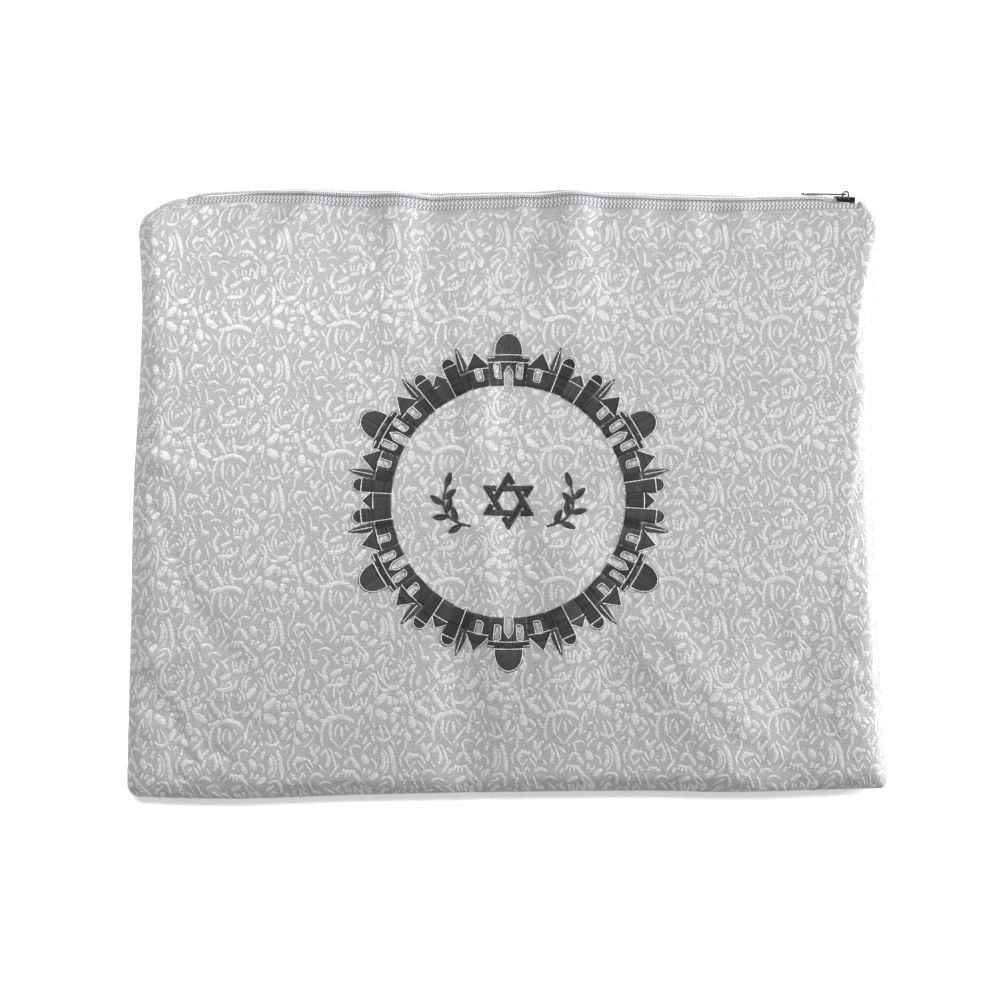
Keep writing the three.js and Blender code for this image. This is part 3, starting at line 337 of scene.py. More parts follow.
def unit(vectors):
    return vectors / np.maximum(np.linalg.norm(vectors, axis=-1, keepdims=True), 1e-9)


def run_lengths(points):
    """Length along each line of points, from its first point"""
    parts = np.linalg.norm(np.diff(points, axis=-2), axis=-1)
    start = np.zeros(parts.shape[:-1] + (1,))
    return np.concatenate([start, np.cumsum(parts, axis=-1)], axis=-1)


# Every column of cloth as one line: from the bottom seam over the front to the zip edge, and
# back under the bag to the bottom seam
column_steps = edge_steps(eased_shares(cloth_columns - 2 * roll_steps, 0.35), roll_steps)
loop_roll = 16
loop_flat = 140
loop_steps = edge_steps(np.linspace(0, 1, loop_flat + 1), loop_roll)
seam_row = len(loop_steps) - 1
roll_row = seam_row - loop_roll
edge_first_row = roll_row - 14
front_loop = bag_points(column_steps[:, None], loop_steps[None])
back_loop = bag_points(column_steps[:, None], loop_steps[::-1][None], lower=True)
loops = np.concatenate([front_loop, back_loop[:, 1:]], axis=1)
loop_lengths = run_lengths(loops)


def edge_lines(x):
    """Outline of the bag's zip edge at places across it, cut straight through: y, z and lengths"""
    used = range(edge_first_row, seam_row + loop_roll + 8)
    y = np.stack([np.interp(x, loops[:, r, 0], loops[:, r, 1]) for r in used], axis=-1)
    z = np.stack([np.interp(x, loops[:, r, 0], loops[:, r, 2]) for r in used], axis=-1)
    run = run_lengths(np.stack([y, z], axis=-1))
    return y, z, run


def along_edge(lines, length, out=0.0):
    """Points at lengths along outlines, moved out along their normals"""
    y, z, run = lines
    k = np.clip((run <= length[:, None]).sum(axis=1) - 1, 0, run.shape[1] - 2)
    row = np.arange(len(k))
    share = (length - run[row, k]) / (run[row, k + 1] - run[row, k])
    step_y = y[row, k + 1] - y[row, k]
    step_z = z[row, k + 1] - z[row, k]
    step = np.hypot(step_y, step_z)
    at_y = y[row, k] + share * step_y - step_z / step * out
    at_z = z[row, k] + share * step_z + step_y / step * out
    return at_y, at_z


def zip_middle(x, lines):
    """Length along each outline to the middle of the zip"""
    run = lines[2]
    turn_start = run[:, roll_row - edge_first_row]
    turn_end = run[:, seam_row + loop_roll - edge_first_row]
    turn = read_table(zip_table, "along", "turn", x / half_width)
    return turn_start + turn * (turn_end - turn_start)


# The zip's course, worked out every half millimetre
zip_x = np.arange(zip_left_end - 4, zip_right_end + 2, 0.5)
zip_lines = edge_lines(zip_x)
zip_mid = zip_middle(zip_x, zip_lines)
zip_centre = np.stack(along_edge(zip_lines, zip_mid), axis=-1)
zip_across = np.stack(along_edge(zip_lines, zip_mid + coil_width / 2), axis=-1)
zip_across = zip_across - np.stack(along_edge(zip_lines, zip_mid - coil_width / 2), axis=-1)
zip_across = zip_across / np.linalg.norm(zip_across, axis=-1, keepdims=True)
zip_out = np.stack([-zip_across[:, 1], zip_across[:, 0]], axis=-1)


def flat_half(x):
    near = 1 - smoothstep(slider_length / 2 + 1, slider_length, np.abs(x - slider_place))
    narrow = coil_width / 2 + piece_gap
    return narrow + (slider_front_width / 2 + piece_gap - narrow) * near


def slit_half(x):
    opened = smoothstep(wedge_start - 3 - piece_gap, wedge_start - piece_gap, x)
    return 0.2 + (wedge_width / 2 + piece_gap - 0.2) * opened


def past_left_end(x):
    return smoothstep(zip_left_end - end_tuck, zip_left_end + zip_blend_left / 2, x)


def under_end(x):
    """How far the zip has gone under the cloth at its two ends, from 0 to 1"""
    left = 1 - past_left_end(x)
    right = smoothstep(zip_right_end - 0.2, zip_right_end + 0.6 * end_tuck, x)
    return np.maximum(left, right)


def zip_points(x, sideways, up):
    """Points of the zip: sideways from its middle and up from the tapes' upper face"""
    x, sideways, up = np.broadcast_arrays(np.asarray(x, float), sideways, up)
    pick = [np.interp(x, zip_x, part) for part in (*zip_centre.T, *zip_across.T, *zip_out.T)]
    pressed = np.where(up > 0, 0.75 * (1 - smoothstep(zip_left_end + 1, zip_left_end + 12, x)), 0)
    rise = up * (1 - pressed) - tape_drop - flat_half(x) ** 2 / (2 * top_roll) - 1.5 * under_end(x)
    y = pick[0] + pick[2] * sideways + pick[4] * rise
    z = pick[1] + pick[3] * sideways + pick[5] * rise
    return np.stack([x, y, z], axis=-1)


def cut_rows(side):
    """Row of the loops at which the cloth ends: at the zip, and at the seam beyond its ends"""
    run = zip_lines[2]
    length = zip_mid + side * zip_width / 2
    rows = np.array([np.interp(length[k], run[k], np.arange(run.shape[1])) for k in range(len(length))])
    past_right_end = smoothstep(zip_right_end - 0.2, zip_right_end + 1.3 * end_tuck, zip_x)
    beside_zip = past_left_end(zip_x) * (1 - past_right_end)
    rows = seam_row + (rows + edge_first_row - seam_row) * beside_zip
    at_column = np.interp(loops[..., 0], zip_x, rows, left=seam_row, right=seam_row)
    past = np.arange(loops.shape[1])[None] - at_column
    return np.array([np.interp(0, line, np.arange(len(line))) for line in past])


def cloth_grid(side):
    """Rows of points over one panel, from the bottom seam to the zip, with their cloth lengths"""
    rows = cut_rows(side)
    count = np.arange(loops.shape[1])
    grid = np.zeros((len(loops), cloth_rows + 1, 3))
    lengths = np.zeros((len(loops), cloth_rows + 1))
    shares = eased_shares(cloth_rows, 0.55)
    for c, (line, run) in enumerate(zip(loops, loop_lengths)):
        cut = np.interp(rows[c], count, run)
        total = run[-1]
        wanted = cut * shares if side < 0 else total + (cut - total) * shares
        for axis in range(3):
            grid[c, :, axis] = np.interp(wanted, run, line[:, axis])
        lengths[c] = np.abs(wanted - wanted[0])
    return grid, lengths


def new_piece(name, points, faces, material, uv=None):
    """Mesh object from points in millimetres"""
    mesh = bpy.data.meshes.new(name)
    mesh.from_pydata((np.asarray(points) * MM).tolist(), [], faces)
    if uv is not None:
        layer = mesh.uv_layers.new(name="cloth")
        corners = np.zeros(len(mesh.loops), int)
        mesh.loops.foreach_get("vertex_index", corners)
        layer.data.foreach_set("uv", (np.asarray(uv)[corners] * MM).ravel())
    mesh.materials.append(material)
    mesh.shade_smooth()
    piece = bpy.data.objects.new(name, mesh)
    scene.collection.objects.link(piece)
    return piece


def grid_faces(across, upward, flip=False):
    """Faces of a grid of points that is counted upward first"""
    faces = []
    for i in range(across - 1):
        for j in range(upward - 1):
            a = i * upward + j
            face = (a, a + upward, a + upward + 1, a + 1)
            faces.append(face[::-1] if flip else face)
    return faces


def pick_only(piece):
    bpy.ops.object.select_all(action="DESELECT")
    piece.select_set(True)
    bpy.context.view_layer.objects.active = piece


def apply_modifiers(piece):
    pick_only(piece)
    for modifier in list(piece.modifiers):
        bpy.ops.object.modifier_apply(modifier=modifier.name)


def settle_cloth(piece, pinned, growth, cap):
    """Lets the cloth find its own small wrinkles between its sewn edges"""
    group = piece.vertex_groups.new(name="sewn_edges")
    group.add(np.flatnonzero(pinned).tolist(), 1.0, "REPLACE")
    modifier = piece.modifiers.new("settle", "CLOTH")
    cloth = modifier.settings
    cloth.quality = 4
    cloth.mass = 0.12
    cloth.air_damping = 4
    cloth.tension_stiffness = 18
    cloth.compression_stiffness = 18
    cloth.shear_stiffness = 6
    cloth.bending_stiffness = 0.4
    cloth.vertex_group_mass = group.name
    cloth.pin_stiffness = 1
    cloth.shrink_min = -growth
    cloth.shrink_max = -growth
    cloth.use_pressure = True
    cloth.uniform_pressure_force = 1.5
    cloth.effector_weights.gravity = 0
    modifier.collision_settings.use_collision = False
    modifier.collision_settings.use_self_collision = False
    modifier.point_cache.frame_start = 1
    modifier.point_cache.frame_end = settle_frames
    before = np.zeros(len(piece.data.vertices) * 3, np.float32)
    piece.data.vertices.foreach_get("co", before)
    for count in range(1, settle_frames + 1):
        scene.frame_set(count)
    settled = piece.evaluated_get(bpy.context.evaluated_depsgraph_get()).data
    after = np.zeros_like(before)
    settled.vertices.foreach_get("co", after)
    move = (after - before).reshape(-1, 3)
    size = np.linalg.norm(move, axis=1, keepdims=True)
    limit = cap * MM
    move = move * np.where(size > 1e-9, limit * np.tanh(size / limit) / np.maximum(size, 1e-9), 0)
    piece.modifiers.remove(modifier)
    scene.frame_set(1)
    piece.data.vertices.foreach_set("co", (before.reshape(-1, 3) + move).ravel())
    piece.data.update()


def grid_normals(grid):
    """Normals of a grid of points, as long as its steps make them"""
    return np.cross(np.gradient(grid, axis=0), np.gradient(grid, axis=1))


def edge_distance(grid):
    """Distance of each point from the nearest edge of its cloth, along the cloth"""
    across = run_lengths(np.swapaxes(grid, 0, 1)).T
    upward = run_lengths(grid)
    from_sides = np.minimum(across, across[-1:] - across)
    from_ends = np.minimum(upward, upward[:, -1:] - upward)
    return np.minimum(from_sides, from_ends)


def cloth_panel(name, side, material):
    """Front or back panel of the bag as one sewn cloth, still without thickness"""
    grid, lengths = cloth_grid(side)
    across, upward = grid.shape[:2]
    along_x = run_lengths(np.swapaxes(grid, 0, 1))[cloth_rows // 2]
    uv = np.stack([np.broadcast_to(along_x[:, None], lengths.shape), lengths], axis=-1)
    off = edge_distance(grid)
    normal = -side * grid_normals(grid)
    size = np.linalg.norm(normal, axis=-1, keepdims=True)
    normal = normal / np.maximum(size, 1e-9)
    tuck = edge_tuck * np.exp(-((off / edge_tuck_reach) ** 2))
    grid = grid - normal * np.where(size > 1e-6, tuck[..., None], 0)
    grid[..., 2] = np.maximum(grid[..., 2], 0)
    faces = grid_faces(across, upward, flip=side > 0)
    piece = new_piece(name, grid.reshape(-1, 3), faces, material, uv.reshape(-1, 2))
    return piece, off, along_x, lengths


def give_wall(piece, thickness):
    wall = piece.modifiers.new("wall", "SOLIDIFY")
    wall.thickness = thickness * MM
    wall.offset = -1
    wall.use_even_offset = True
    wall.thickness_clamp = 1
    apply_modifiers(piece)
    piece.data.shade_smooth()


class Wiring:
    """Adds nodes to one tree and links them as they are made"""

    def __init__(self, tree):
        self.tree = tree

    def feed(self, socket, value):
        if isinstance(value, bpy.types.NodeSocket):
            self.tree.links.new(value, socket)
        else:
            socket.default_value = value

    def add(self, kind, inputs=None, **settings):
        node = self.tree.nodes.new(kind)
        for name, value in settings.items():
            setattr(node, name, value)
        for key, value in (inputs or {}).items():
            self.feed(node.inputs[key], value)
        return node

    def math(self, operation, *values):
        return self.add("ShaderNodeMath", dict(enumerate(values)), operation=operation).outputs[0]

    def vector(self, operation, *values):
        return self.add(
            "ShaderNodeVectorMath", dict(enumerate(values)), operation=operation
        ).outputs["Vector"]

    def blend(self, share, low, high):
        inputs = {"Factor": share, "A": low, "B": high}
        node = self.tree.nodes.new("ShaderNodeMix")
        node.data_type = "RGBA"
        for key, value in inputs.items():
            socket = [s for s in node.inputs if s.name == key and s.enabled][0]
            self.feed(socket, value)
        return [s for s in node.outputs if s.enabled][0]

    def place(self):
        return self.add("ShaderNodeTexCoord").outputs["Object"]

    def emboss(self, shader, height, strength, distance):
        inputs = {"Height": height, "Strength": strength, "Distance": distance}
        self.feed(shader.inputs["Normal"], self.add("ShaderNodeBump", inputs).outputs["Normal"])

    def ease(self, value, low, high):
        inputs = {"Value": value, "From Min": low, "From Max": high}
        node = self.add("ShaderNodeMapRange", inputs, interpolation_type="SMOOTHSTEP")
        return node.outputs["Result"]


def node_group(name, inputs, outputs):
    group = bpy.data.node_groups.new(name, "ShaderNodeTree")
    for label, kind, value in inputs:
        socket = group.interface.new_socket(name=label, in_out="INPUT", socket_type=kind)
        if value is not None:
            socket.default_value = value
    for label, kind in outputs:
        group.interface.new_socket(name=label, in_out="OUTPUT", socket_type=kind)
    wiring = Wiring(group)
    return group, wiring, wiring.add("NodeGroupInput"), wiring.add("NodeGroupOutput")


def uneven_tone_group():
    """Soft uneven tone over a surface, from lengths in metres"""
    group, w, start, end = node_group(
        "uneven_tone",
        [("Place", "NodeSocketVector", None), ("Scale", "NodeSocketFloat", 30.0)],
        [("Tone", "NodeSocketFloat")],
    )
    noise = w.add(
        "ShaderNodeTexNoise",
        {"Vector": start.outputs["Place"], "Scale": start.outputs["Scale"], "Detail": 2.0},
    )
    w.feed(end.inputs["Tone"], noise.outputs["Fac"])
    return group


tone_group = uneven_tone_group()


def uneven_tone(wiring, scale):
    inputs = {"Place": wiring.place(), "Scale": scale}
    node = wiring.tree.nodes.new("ShaderNodeGroup")
    node.node_tree = tone_group
    for key, value in inputs.items():
        wiring.feed(node.inputs[key], value)
    return node.outputs["Tone"]


def new_material(name, **settings):
    material = bpy.data.materials.new(name)
    material.use_nodes = True
    shader = material.node_tree.nodes["Principled BSDF"]
    for label, value in settings.items():
        shader.inputs[label.replace("_", " ")].default_value = value
    return material, Wiring(material.node_tree), shader


def brocade_material(name, dark, light, roughness, grain_size):
    """Woven ground or satin figure of the brocade, with the grain of its threads"""
    material, w, shader = new_material(
        name, Roughness=roughness, Sheen_Weight=0.15, Sheen_Roughness=0.35
    )
    threads = w.vector("MULTIPLY", w.place(), grain_size)
    grain = w.add("ShaderNodeTexNoise", {"Vector": threads, "Scale": 1.0, "Detail": 1.0}).outputs["Fac"]
    grain = w.ease(grain, 0.3, 0.7)
    w.feed(shader.inputs["Base Color"], w.blend(grain, dark, light))
    w.emboss(shader, grain, 0.35, 0.00015)
    return material


def tape_material():
    """Zip tape woven in a herringbone; lane and pitch in metres"""
    lane, pitch = 0.0012, 0.0019
    material, w, shader = new_material("zip_tape_twill", Roughness=0.7, Sheen_Weight=0.15)
    cloth = w.add("ShaderNodeUVMap", uv_map="cloth").outputs["UV"]
    parts = w.add("ShaderNodeSeparateXYZ", {0: cloth}).outputs
    fold = w.math("PINGPONG", parts["Y"], lane)
    slant = w.math("MULTIPLY", w.math("ADD", parts["X"], fold), 2 * math.pi / pitch)
    rib = w.ease(w.math("SINE", slant), -0.5, 0.6)
    between = w.ease(fold, 0.0, 0.00025)
    rib = w.math("MULTIPLY", rib, between)
    colour = w.blend(rib, (0.2, 0.2, 0.212, 1), (0.56, 0.56, 0.575, 1))
    w.feed(shader.inputs["Base Color"], colour)
    w.emboss(shader, rib, 0.6, 0.0002)
    return material


def nylon_material():
    material, w, shader = new_material("white_nylon_coil", Roughness=0.35)
    tone = uneven_tone(w, 900.0)
    w.feed(shader.inputs["Base Color"], w.blend(tone, (0.62, 0.62, 0.64, 1), (0.8, 0.8, 0.82, 1)))
    return material


def thread_material(name, dark, light, roughness, sheen):
    """Embroidery thread: each stitch has its own tone, partly random and partly painted sheen, and fine
    strands run over it
    """
    material, w, shader = new_material(
        name, Sheen_Weight=sheen, Sheen_Roughness=0.3, Specular_IOR_Level=0.3
    )
    tone = w.add("ShaderNodeAttribute", attribute_name="tone").outputs["Fac"]
    strands = w.add("ShaderNodeTexNoise", {"Vector": w.place(), "Scale": 4200.0, "Detail": 1.0})
    # Lighter stitches stand for the thread's sheen as well as its random tone: painted sheen
    w.feed(shader.inputs["Base Color"], w.blend(tone, dark, light))
    w.feed(shader.inputs["Roughness"], w.math("MULTIPLY_ADD", tone, -0.12, roughness))
    w.emboss(shader, strands.outputs["Fac"], 0.5, 0.0001)
    return material


def metal_material(name, dark, light, roughness):
    """Plated zip metal with small rubbed spots"""
    material, w, shader = new_material(name, Metallic=1.0)
    tone = uneven_tone(w, 700.0)
    rubbed = w.ease(tone, 0.45, 0.68)
    w.feed(shader.inputs["Base Color"], w.blend(rubbed, dark, light))
    w.feed(shader.inputs["Roughness"], w.math("MULTIPLY_ADD", rubbed, 0.12, roughness))
    w.emboss(shader, tone, 0.2, 0.0001)
    return material


def floor_material():
    material, w, shader = new_material(
        "pale_floor", Roughness=0.9, Emission_Color=(1, 1, 1, 1), Emission_Strength=0.35
    )
    tone = uneven_tone(w, 3.0)
    w.feed(shader.inputs["Base Color"], w.blend(tone, (0.87, 0.87, 0.87, 1), (0.89, 0.89, 0.89, 1)))
    return material


brocade = brocade_material(
    "silver_brocade", dark=(0.25, 0.25, 0.262, 1), light=(0.4, 0.4, 0.415, 1),
    roughness=0.45, grain_size=(2000, 2000, 2000),
)
satin = brocade_material(
    "satin_figure", dark=(0.38, 0.38, 0.388, 1), light=(0.58, 0.58, 0.59, 1),
    roughness=0.34, grain_size=(1000, 1800, 1400),
)
tape_cloth = tape_material()
nylon = nylon_material()
grey_thread = thread_material(
    "dark_grey_thread", dark=(0.012, 0.013, 0.0125, 1), light=(0.065, 0.069, 0.067, 1),
    roughness=0.5, sheen=0.15,
)
silver_thread = thread_material(
    "silver_thread", dark=(0.42, 0.43, 0.43, 1), light=(0.75, 0.76, 0.77, 1),
    roughness=0.4, sheen=0.2,
)
white_thread = thread_material(
    "white_sewing_thread", dark=(0.7, 0.7, 0.71, 1), light=(0.85, 0.85, 0.86, 1),
    roughness=0.55, sheen=0.2,
)
dark_metal = metal_material(
    "dark_nickel", dark=(0.05, 0.045, 0.042, 1), light=(0.16, 0.15, 0.14, 1),
    roughness=0.28,
)
# Lighter metal for the rounded edges of the zip's metal: painted highlight
edge_highlight_metal = metal_material(
    "nickel_painted_edge_highlight", dark=(0.45, 0.44, 0.43, 1), light=(0.75, 0.74, 0.72, 1),
    roughness=0.22,
)

# The two panels
front_cloth, front_off, front_along, front_lengths = cloth_panel("front_cloth", -1, brocade)
back_cloth, _, back_along, back_lengths = cloth_panel("back_cloth", 1, brocade)
settle_cloth(front_cloth, front_off.ravel() < sewn_reach, cloth_growth, move_cap)


def piece_grid(piece, like):
    """Points of a panel in millimetres, in their rows"""
    points = np.zeros(len(piece.data.vertices) * 3)
    piece.data.vertices.foreach_get("co", points)
    return points.reshape(*like.shape, 3) / MM


front_grid = piece_grid(front_cloth, front_lengths)
back_grid = piece_grid(back_cloth, back_lengths)
front_surface = BVHTree.FromPolygons(
    front_grid.reshape(-1, 3).tolist(), [tuple(face.vertices) for face in front_cloth.data.polygons]
)
give_wall(front_cloth, cloth_wall)
give_wall(back_cloth, cloth_wall)


def read_grid(values, column, row):
    """Values of a grid between its points"""
    c = np.clip(np.floor(column).astype(int), 0, values.shape[0] - 2)
    r = np.clip(np.floor(row).astype(int), 0, values.shape[1] - 2)
    across = (column - c)[..., None]
    up = (row - r)[..., None]
    near = values[c, r] * (1 - across) + values[c + 1, r] * across
    far = values[c, r + 1] * (1 - across) + values[c + 1, r + 1] * across
    return near * (1 - up) + far * up


def stroke_points(heading, length, width, bend):
    """Outline of one stroke: places along it, each with its two sides and its raised middle"""
    count = 7 + min(6, round(abs(bend) / 22))
    along = 0.5 * np.sin(np.linspace(-0.5, 0.5, count) * math.pi)
    start = math.radians(heading)
    turn = math.radians(bend) * along
    if abs(bend) < 1:
        x, y = along * length * math.cos(start), along * length * math.sin(start)
    else:
        radius = length / math.radians(bend)
        x = (np.sin(start + turn) - math.sin(start)) * radius
        y = (math.cos(start) - np.cos(start + turn)) * radius
    power = 2.6 if length < 2.2 * width else 5
    half = 0.52 * (width + 0.12) * np.maximum(1 - np.abs(2 * along) ** power, 0.04) ** 0.5
    side = np.array([-1, 0, 1])
    x = x[:, None] - np.sin(start + turn)[:, None] * half[:, None] * side
    y = y[:, None] + np.cos(start + turn)[:, None] * half[:, None] * side
    rise = figure_rise * (1 - np.abs(side)) * (half[:, None] > 0.2 * width)
    return x, y, rise


def woven_figure(name, grid, along_x, lengths, first, side):
    """The brocade's figure over one panel: every stroke of the repeat, laid on the cloth"""
    normals = side * unit(grid_normals(grid))
    totals = lengths[:, -1]
    shares = lengths[len(lengths) // 2] / totals[len(lengths) // 2]
    reach = (along_x[-1], totals.max())
    repeat_x, repeat_y = repeat_size
    across = np.arange(-1, math.ceil(reach[0] / repeat_x) + 1) * repeat_x + first[0] % repeat_x
    upward = np.arange(-1, math.ceil(reach[1] / repeat_y) + 2) * repeat_y + first[1] % repeat_y
    corners = np.array([(u, v) for u in across for v in upward])
    all_points, all_faces = [], []
    total = 0
    margin = 0.6
    turned = (0, 1, 4, 3) if side > 0 else (0, 3, 4, 1)
    for x, y, heading, length, width, bend in figure_table:
        stroke_x, stroke_y, rise = stroke_points(heading, length, width, bend)
        u = corners[:, 0, None, None] + x + stroke_x
        v = corners[:, 1, None, None] - y - stroke_y
        column = np.interp(u, along_x, np.arange(len(along_x)))
        high = np.interp(column, np.arange(len(totals)), totals)
        count = len(stroke_x)
        middle = count // 2
        u_in = (u[:, middle, 1] > margin) & (u[:, middle, 1] < reach[0] - margin)
        v_in = (v[:, middle, 1] > margin) & (v[:, middle, 1] < high[:, middle, 1] - margin)
        kept = u_in & v_in
        column, v, high = column[kept], v[kept], high[kept]
        row = np.interp(np.clip(v, margin, high - margin) / high, shares, np.arange(len(shares)))
        places = read_grid(grid, column, row)
        places = places + unit(read_grid(normals, column, row)) * (rise[None, :, :, None] + 0.03)
        firsts = [k * 3 + lane for k in range(count - 1) for lane in range(2)]
        size = count * 3
        for start in range(total, total + len(places) * size, size):
            all_faces += [tuple(start + first + corner for corner in turned) for first in firsts]
        all_points.append(places.reshape(-1, 3))
        total += len(places) * size
    return new_piece(name, np.concatenate(all_points), all_faces, satin)


middle_row = cloth_rows // 2
middle_column = cloth_columns // 2
first_across = np.interp(repeat_corner[0], front_grid[:, middle_row, 0], front_along)
first_up = np.interp(repeat_corner[1], front_grid[middle_column, :, 1], front_lengths[middle_column])
figure_first = (first_across, first_up)
front_figure = woven_figure("front_woven_figure", front_grid, front_along, front_lengths, figure_first, 1)
back_figure = woven_figure("back_woven_figure", back_grid, back_along, back_lengths, figure_first, -1)


def zip_tape(name, side):
    """Woven tape on one side of the zip; its outer edge goes under the cloth"""
    x = np.arange(zip_left_end - end_tuck, zip_right_end - 2, 1.6)
    x = np.append(x, np.linspace(zip_right_end - 1.2, zip_right_end + end_tuck, 6))
    lines = edge_lines(x)
    middle = zip_middle(x, lines)
    ends = under_end(x)

    def on_edge(reach, depth):
        y, z = along_edge(lines, middle + side * reach, 0.0)
        out_y, out_z = along_edge(lines, middle + side * reach, 1.0)
        deep = depth + 1.6 * ends
        return np.stack([x, y - (out_y - y) * deep, z - (out_z - z) * deep], axis=-1)

    flat = flat_half(x)
    top = [
        zip_points(x, side * slit_half(x), 0.0),
        zip_points(x, side * flat, 0.0),
        on_edge(zip_width / 2 - 1.1, tape_drop + 0.05),
        on_edge(zip_width / 2 - 0.2, tape_drop + 0.6),
        on_edge(zip_width / 2 + tape_hidden, cloth_wall + 0.5),
    ]
    low = [
        on_edge(zip_width / 2 + tape_hidden, cloth_wall + 0.9),
        on_edge(zip_width / 2 - 0.4, tape_drop + tape_thickness + 0.3),
        zip_points(x, side * (flat - 0.1), -tape_thickness),
        zip_points(x, side * slit_half(x), -tape_thickness),
    ]
    rings = np.stack(top + low, axis=1)
    count = rings.shape[1]
    faces = []
    for s in range(len(x) - 1):
        for k in range(count):
            a, b = s * count + k, s * count + (k + 1) % count
            faces.append((a, b, b + count, a + count))
    last = (len(x) - 1) * count
    faces.append(tuple(range(count))[::-1])
    faces.append(tuple(range(last, last + count)))
    if side > 0:
        faces = [face[::-1] for face in faces]
    widths = np.array([0.2, 2.3, 5.6, 6.5, 11.5, 11.5, 6.3, 2.2, 0.2])
    uv = np.stack(np.broadcast_arrays(x[:, None], widths[None]), axis=-1)
    return new_piece(name, rings.reshape(-1, 3), faces, tape_cloth, uv.reshape(-1, 2))


tape_front = zip_tape("zip_tape_front_woven", -1)
tape_back = zip_tape("zip_tape_back_woven", 1)


def mesh_arrays(piece):
    """Points in millimetres and faces of a piece, which is then removed"""
    points = np.array([v.co for v in piece.data.vertices]) / MM
    faces = [tuple(face.vertices) for face in piece.data.polygons]
    mesh = piece.data
    bpy.data.objects.remove(piece)
    bpy.data.meshes.remove(mesh)
    return points, faces


def tooth_template():
    """One turn of the nylon coil: an oval ring, slanted as a helix is"""
    bpy.ops.object.select_all(action="DESELECT")
    bpy.ops.mesh.primitive_torus_add(
        location=(0, 0, 0),
        rotation=(0, math.pi / 2, 0),
        major_segments=12,
        minor_segments=6,
        major_radius=1.0 * MM,
        minor_radius=0.25 * MM,
    )
    tooth = bpy.context.object
    bpy.ops.object.transform_apply(location=True, rotation=True, scale=True)
    bpy.ops.object.mode_set(mode="EDIT")
    bpy.ops.mesh.select_all(action="SELECT")
    bpy.ops.transform.resize(value=(1, 1.06, 0.62))
    bpy.ops.object.mode_set(mode="OBJECT")
    points, faces = mesh_arrays(tooth)
    points[:, 0] += 0.22 * points[:, 1]
    return points, faces


def stitch_template(length, width, height):
    """One stitch along X: half a round thread, drawn in at both ends"""
    bpy.ops.object.select_all(action="DESELECT")
    bpy.ops.mesh.primitive_cylinder_add(
        vertices=8,
        radius=0.5 * MM,
        depth=0.64 * MM,
        end_fill_type="NGON",
        location=(0, 0, 0),
        rotation=(0, math.pi / 2, 0),
    )
    stitch = bpy.context.object
    bpy.ops.object.transform_apply(location=True, rotation=True, scale=True)
    bpy.ops.object.mode_set(mode="EDIT")
    bpy.ops.mesh.select_all(action="SELECT")
    bpy.ops.mesh.bisect(
        plane_co=(0, 0, -0.1 * MM), plane_no=(0, 0, 1), clear_inner=True, clear_outer=False
    )
    bpy.ops.object.mode_set(mode="OBJECT")
    for end in (-1, 1):
        bpy.ops.object.mode_set(mode="EDIT")
        bpy.ops.mesh.select_all(action="DESELECT")
        bpy.ops.object.mode_set(mode="OBJECT")
        for face in stitch.data.polygons:
            face.select = face.normal.x * end > 0.9
        bpy.ops.object.mode_set(mode="EDIT")
        bpy.ops.mesh.select_mode(type="FACE")
        bpy.ops.mesh.extrude_region_move(TRANSFORM_OT_translate={"value": (end * 0.18 * MM, 0, 0)})
        bpy.ops.transform.resize(value=(1, 0.55, 0.45), center_override=(0, 0, -0.1 * MM))
        bpy.ops.object.mode_set(mode="OBJECT")
    points, faces = mesh_arrays(stitch)
    points[:, 2] += 0.1
    points *= (length, width, height / 0.6)
    return points, faces


def uneven_tones(middle, spread, count):
    return np.clip(middle + spread * rng.standard_normal(count), 0, 1)


def lay_copies(name, template, places, tones, material):
    """One mesh of many copies; each place is a centre and its three axes"""
    points, faces = template
    origins, along, across, out = (np.asarray(part, float) for part in places)
    count = len(origins)
    spread = (
        points[None, :, 0:1] * along[:, None]
        + points[None, :, 1:2] * across[:, None]
        + points[None, :, 2:3] * out[:, None]
        + origins[:, None]
    )
    size = len(points)
    all_faces = [tuple(k * size + v for v in face) for k in range(count) for face in faces]
    piece = new_piece(name, spread.reshape(-1, 3), all_faces, material)
    layer = piece.data.attributes.new("tone", "FLOAT", "POINT")
    layer.data.foreach_set("value", np.repeat(np.asarray(tones, float), size))
    return piece


def zip_axes(x):
    """Axes of the zip at places along it: along, across and out"""
    step = zip_points(x + 0.5, 0.0, 0.0) - zip_points(x - 0.5, 0.0, 0.0)
    along = unit(step)
    across = unit(zip_points(x, 1.0, 0.0) - zip_points(x, 0.0, 0.0))
    return along, across, unit(np.cross(along, across))


tooth = tooth_template()
coil_start = zip_left_end + 1.5
coil_end = wedge_start - 0.8


def coil_side(name, side):
    """Coil of one side of the zip, with its turns between those of the other side"""
    x = np.arange(coil_start + (0 if side < 0 else tooth_pitch / 2), coil_end, tooth_pitch)
    along, across, out = zip_axes(x)
    centre = zip_points(x, side * 0.95, 1.12)
    tones = 0.5 + 0.2 * rng.standard_normal(len(x))
    return lay_copies(name, tooth, (centre, along, across * side, out), tones, nylon)


coil_front = coil_side("zip_coil_front_turns", -1)
coil_back = coil_side("zip_coil_back_turns", 1)


coil_stitch = stitch_template(0.95, 0.62, 0.34)


def coil_sewing(name):
    """Two rows of stitches, which hold the coil to its tapes"""
    row = np.arange(coil_start + 0.3, coil_end - 1, tooth_pitch)
    x = np.tile(row, 2)
    places = (zip_points(x, np.repeat([-0.98, 0.98], len(row)), 1.86), *zip_axes(x))
    return lay_copies(name, coil_stitch, places, uneven_tones(0.6, 0.25, len(x)), white_thread)


coil_thread = coil_sewing("coil_sewing")


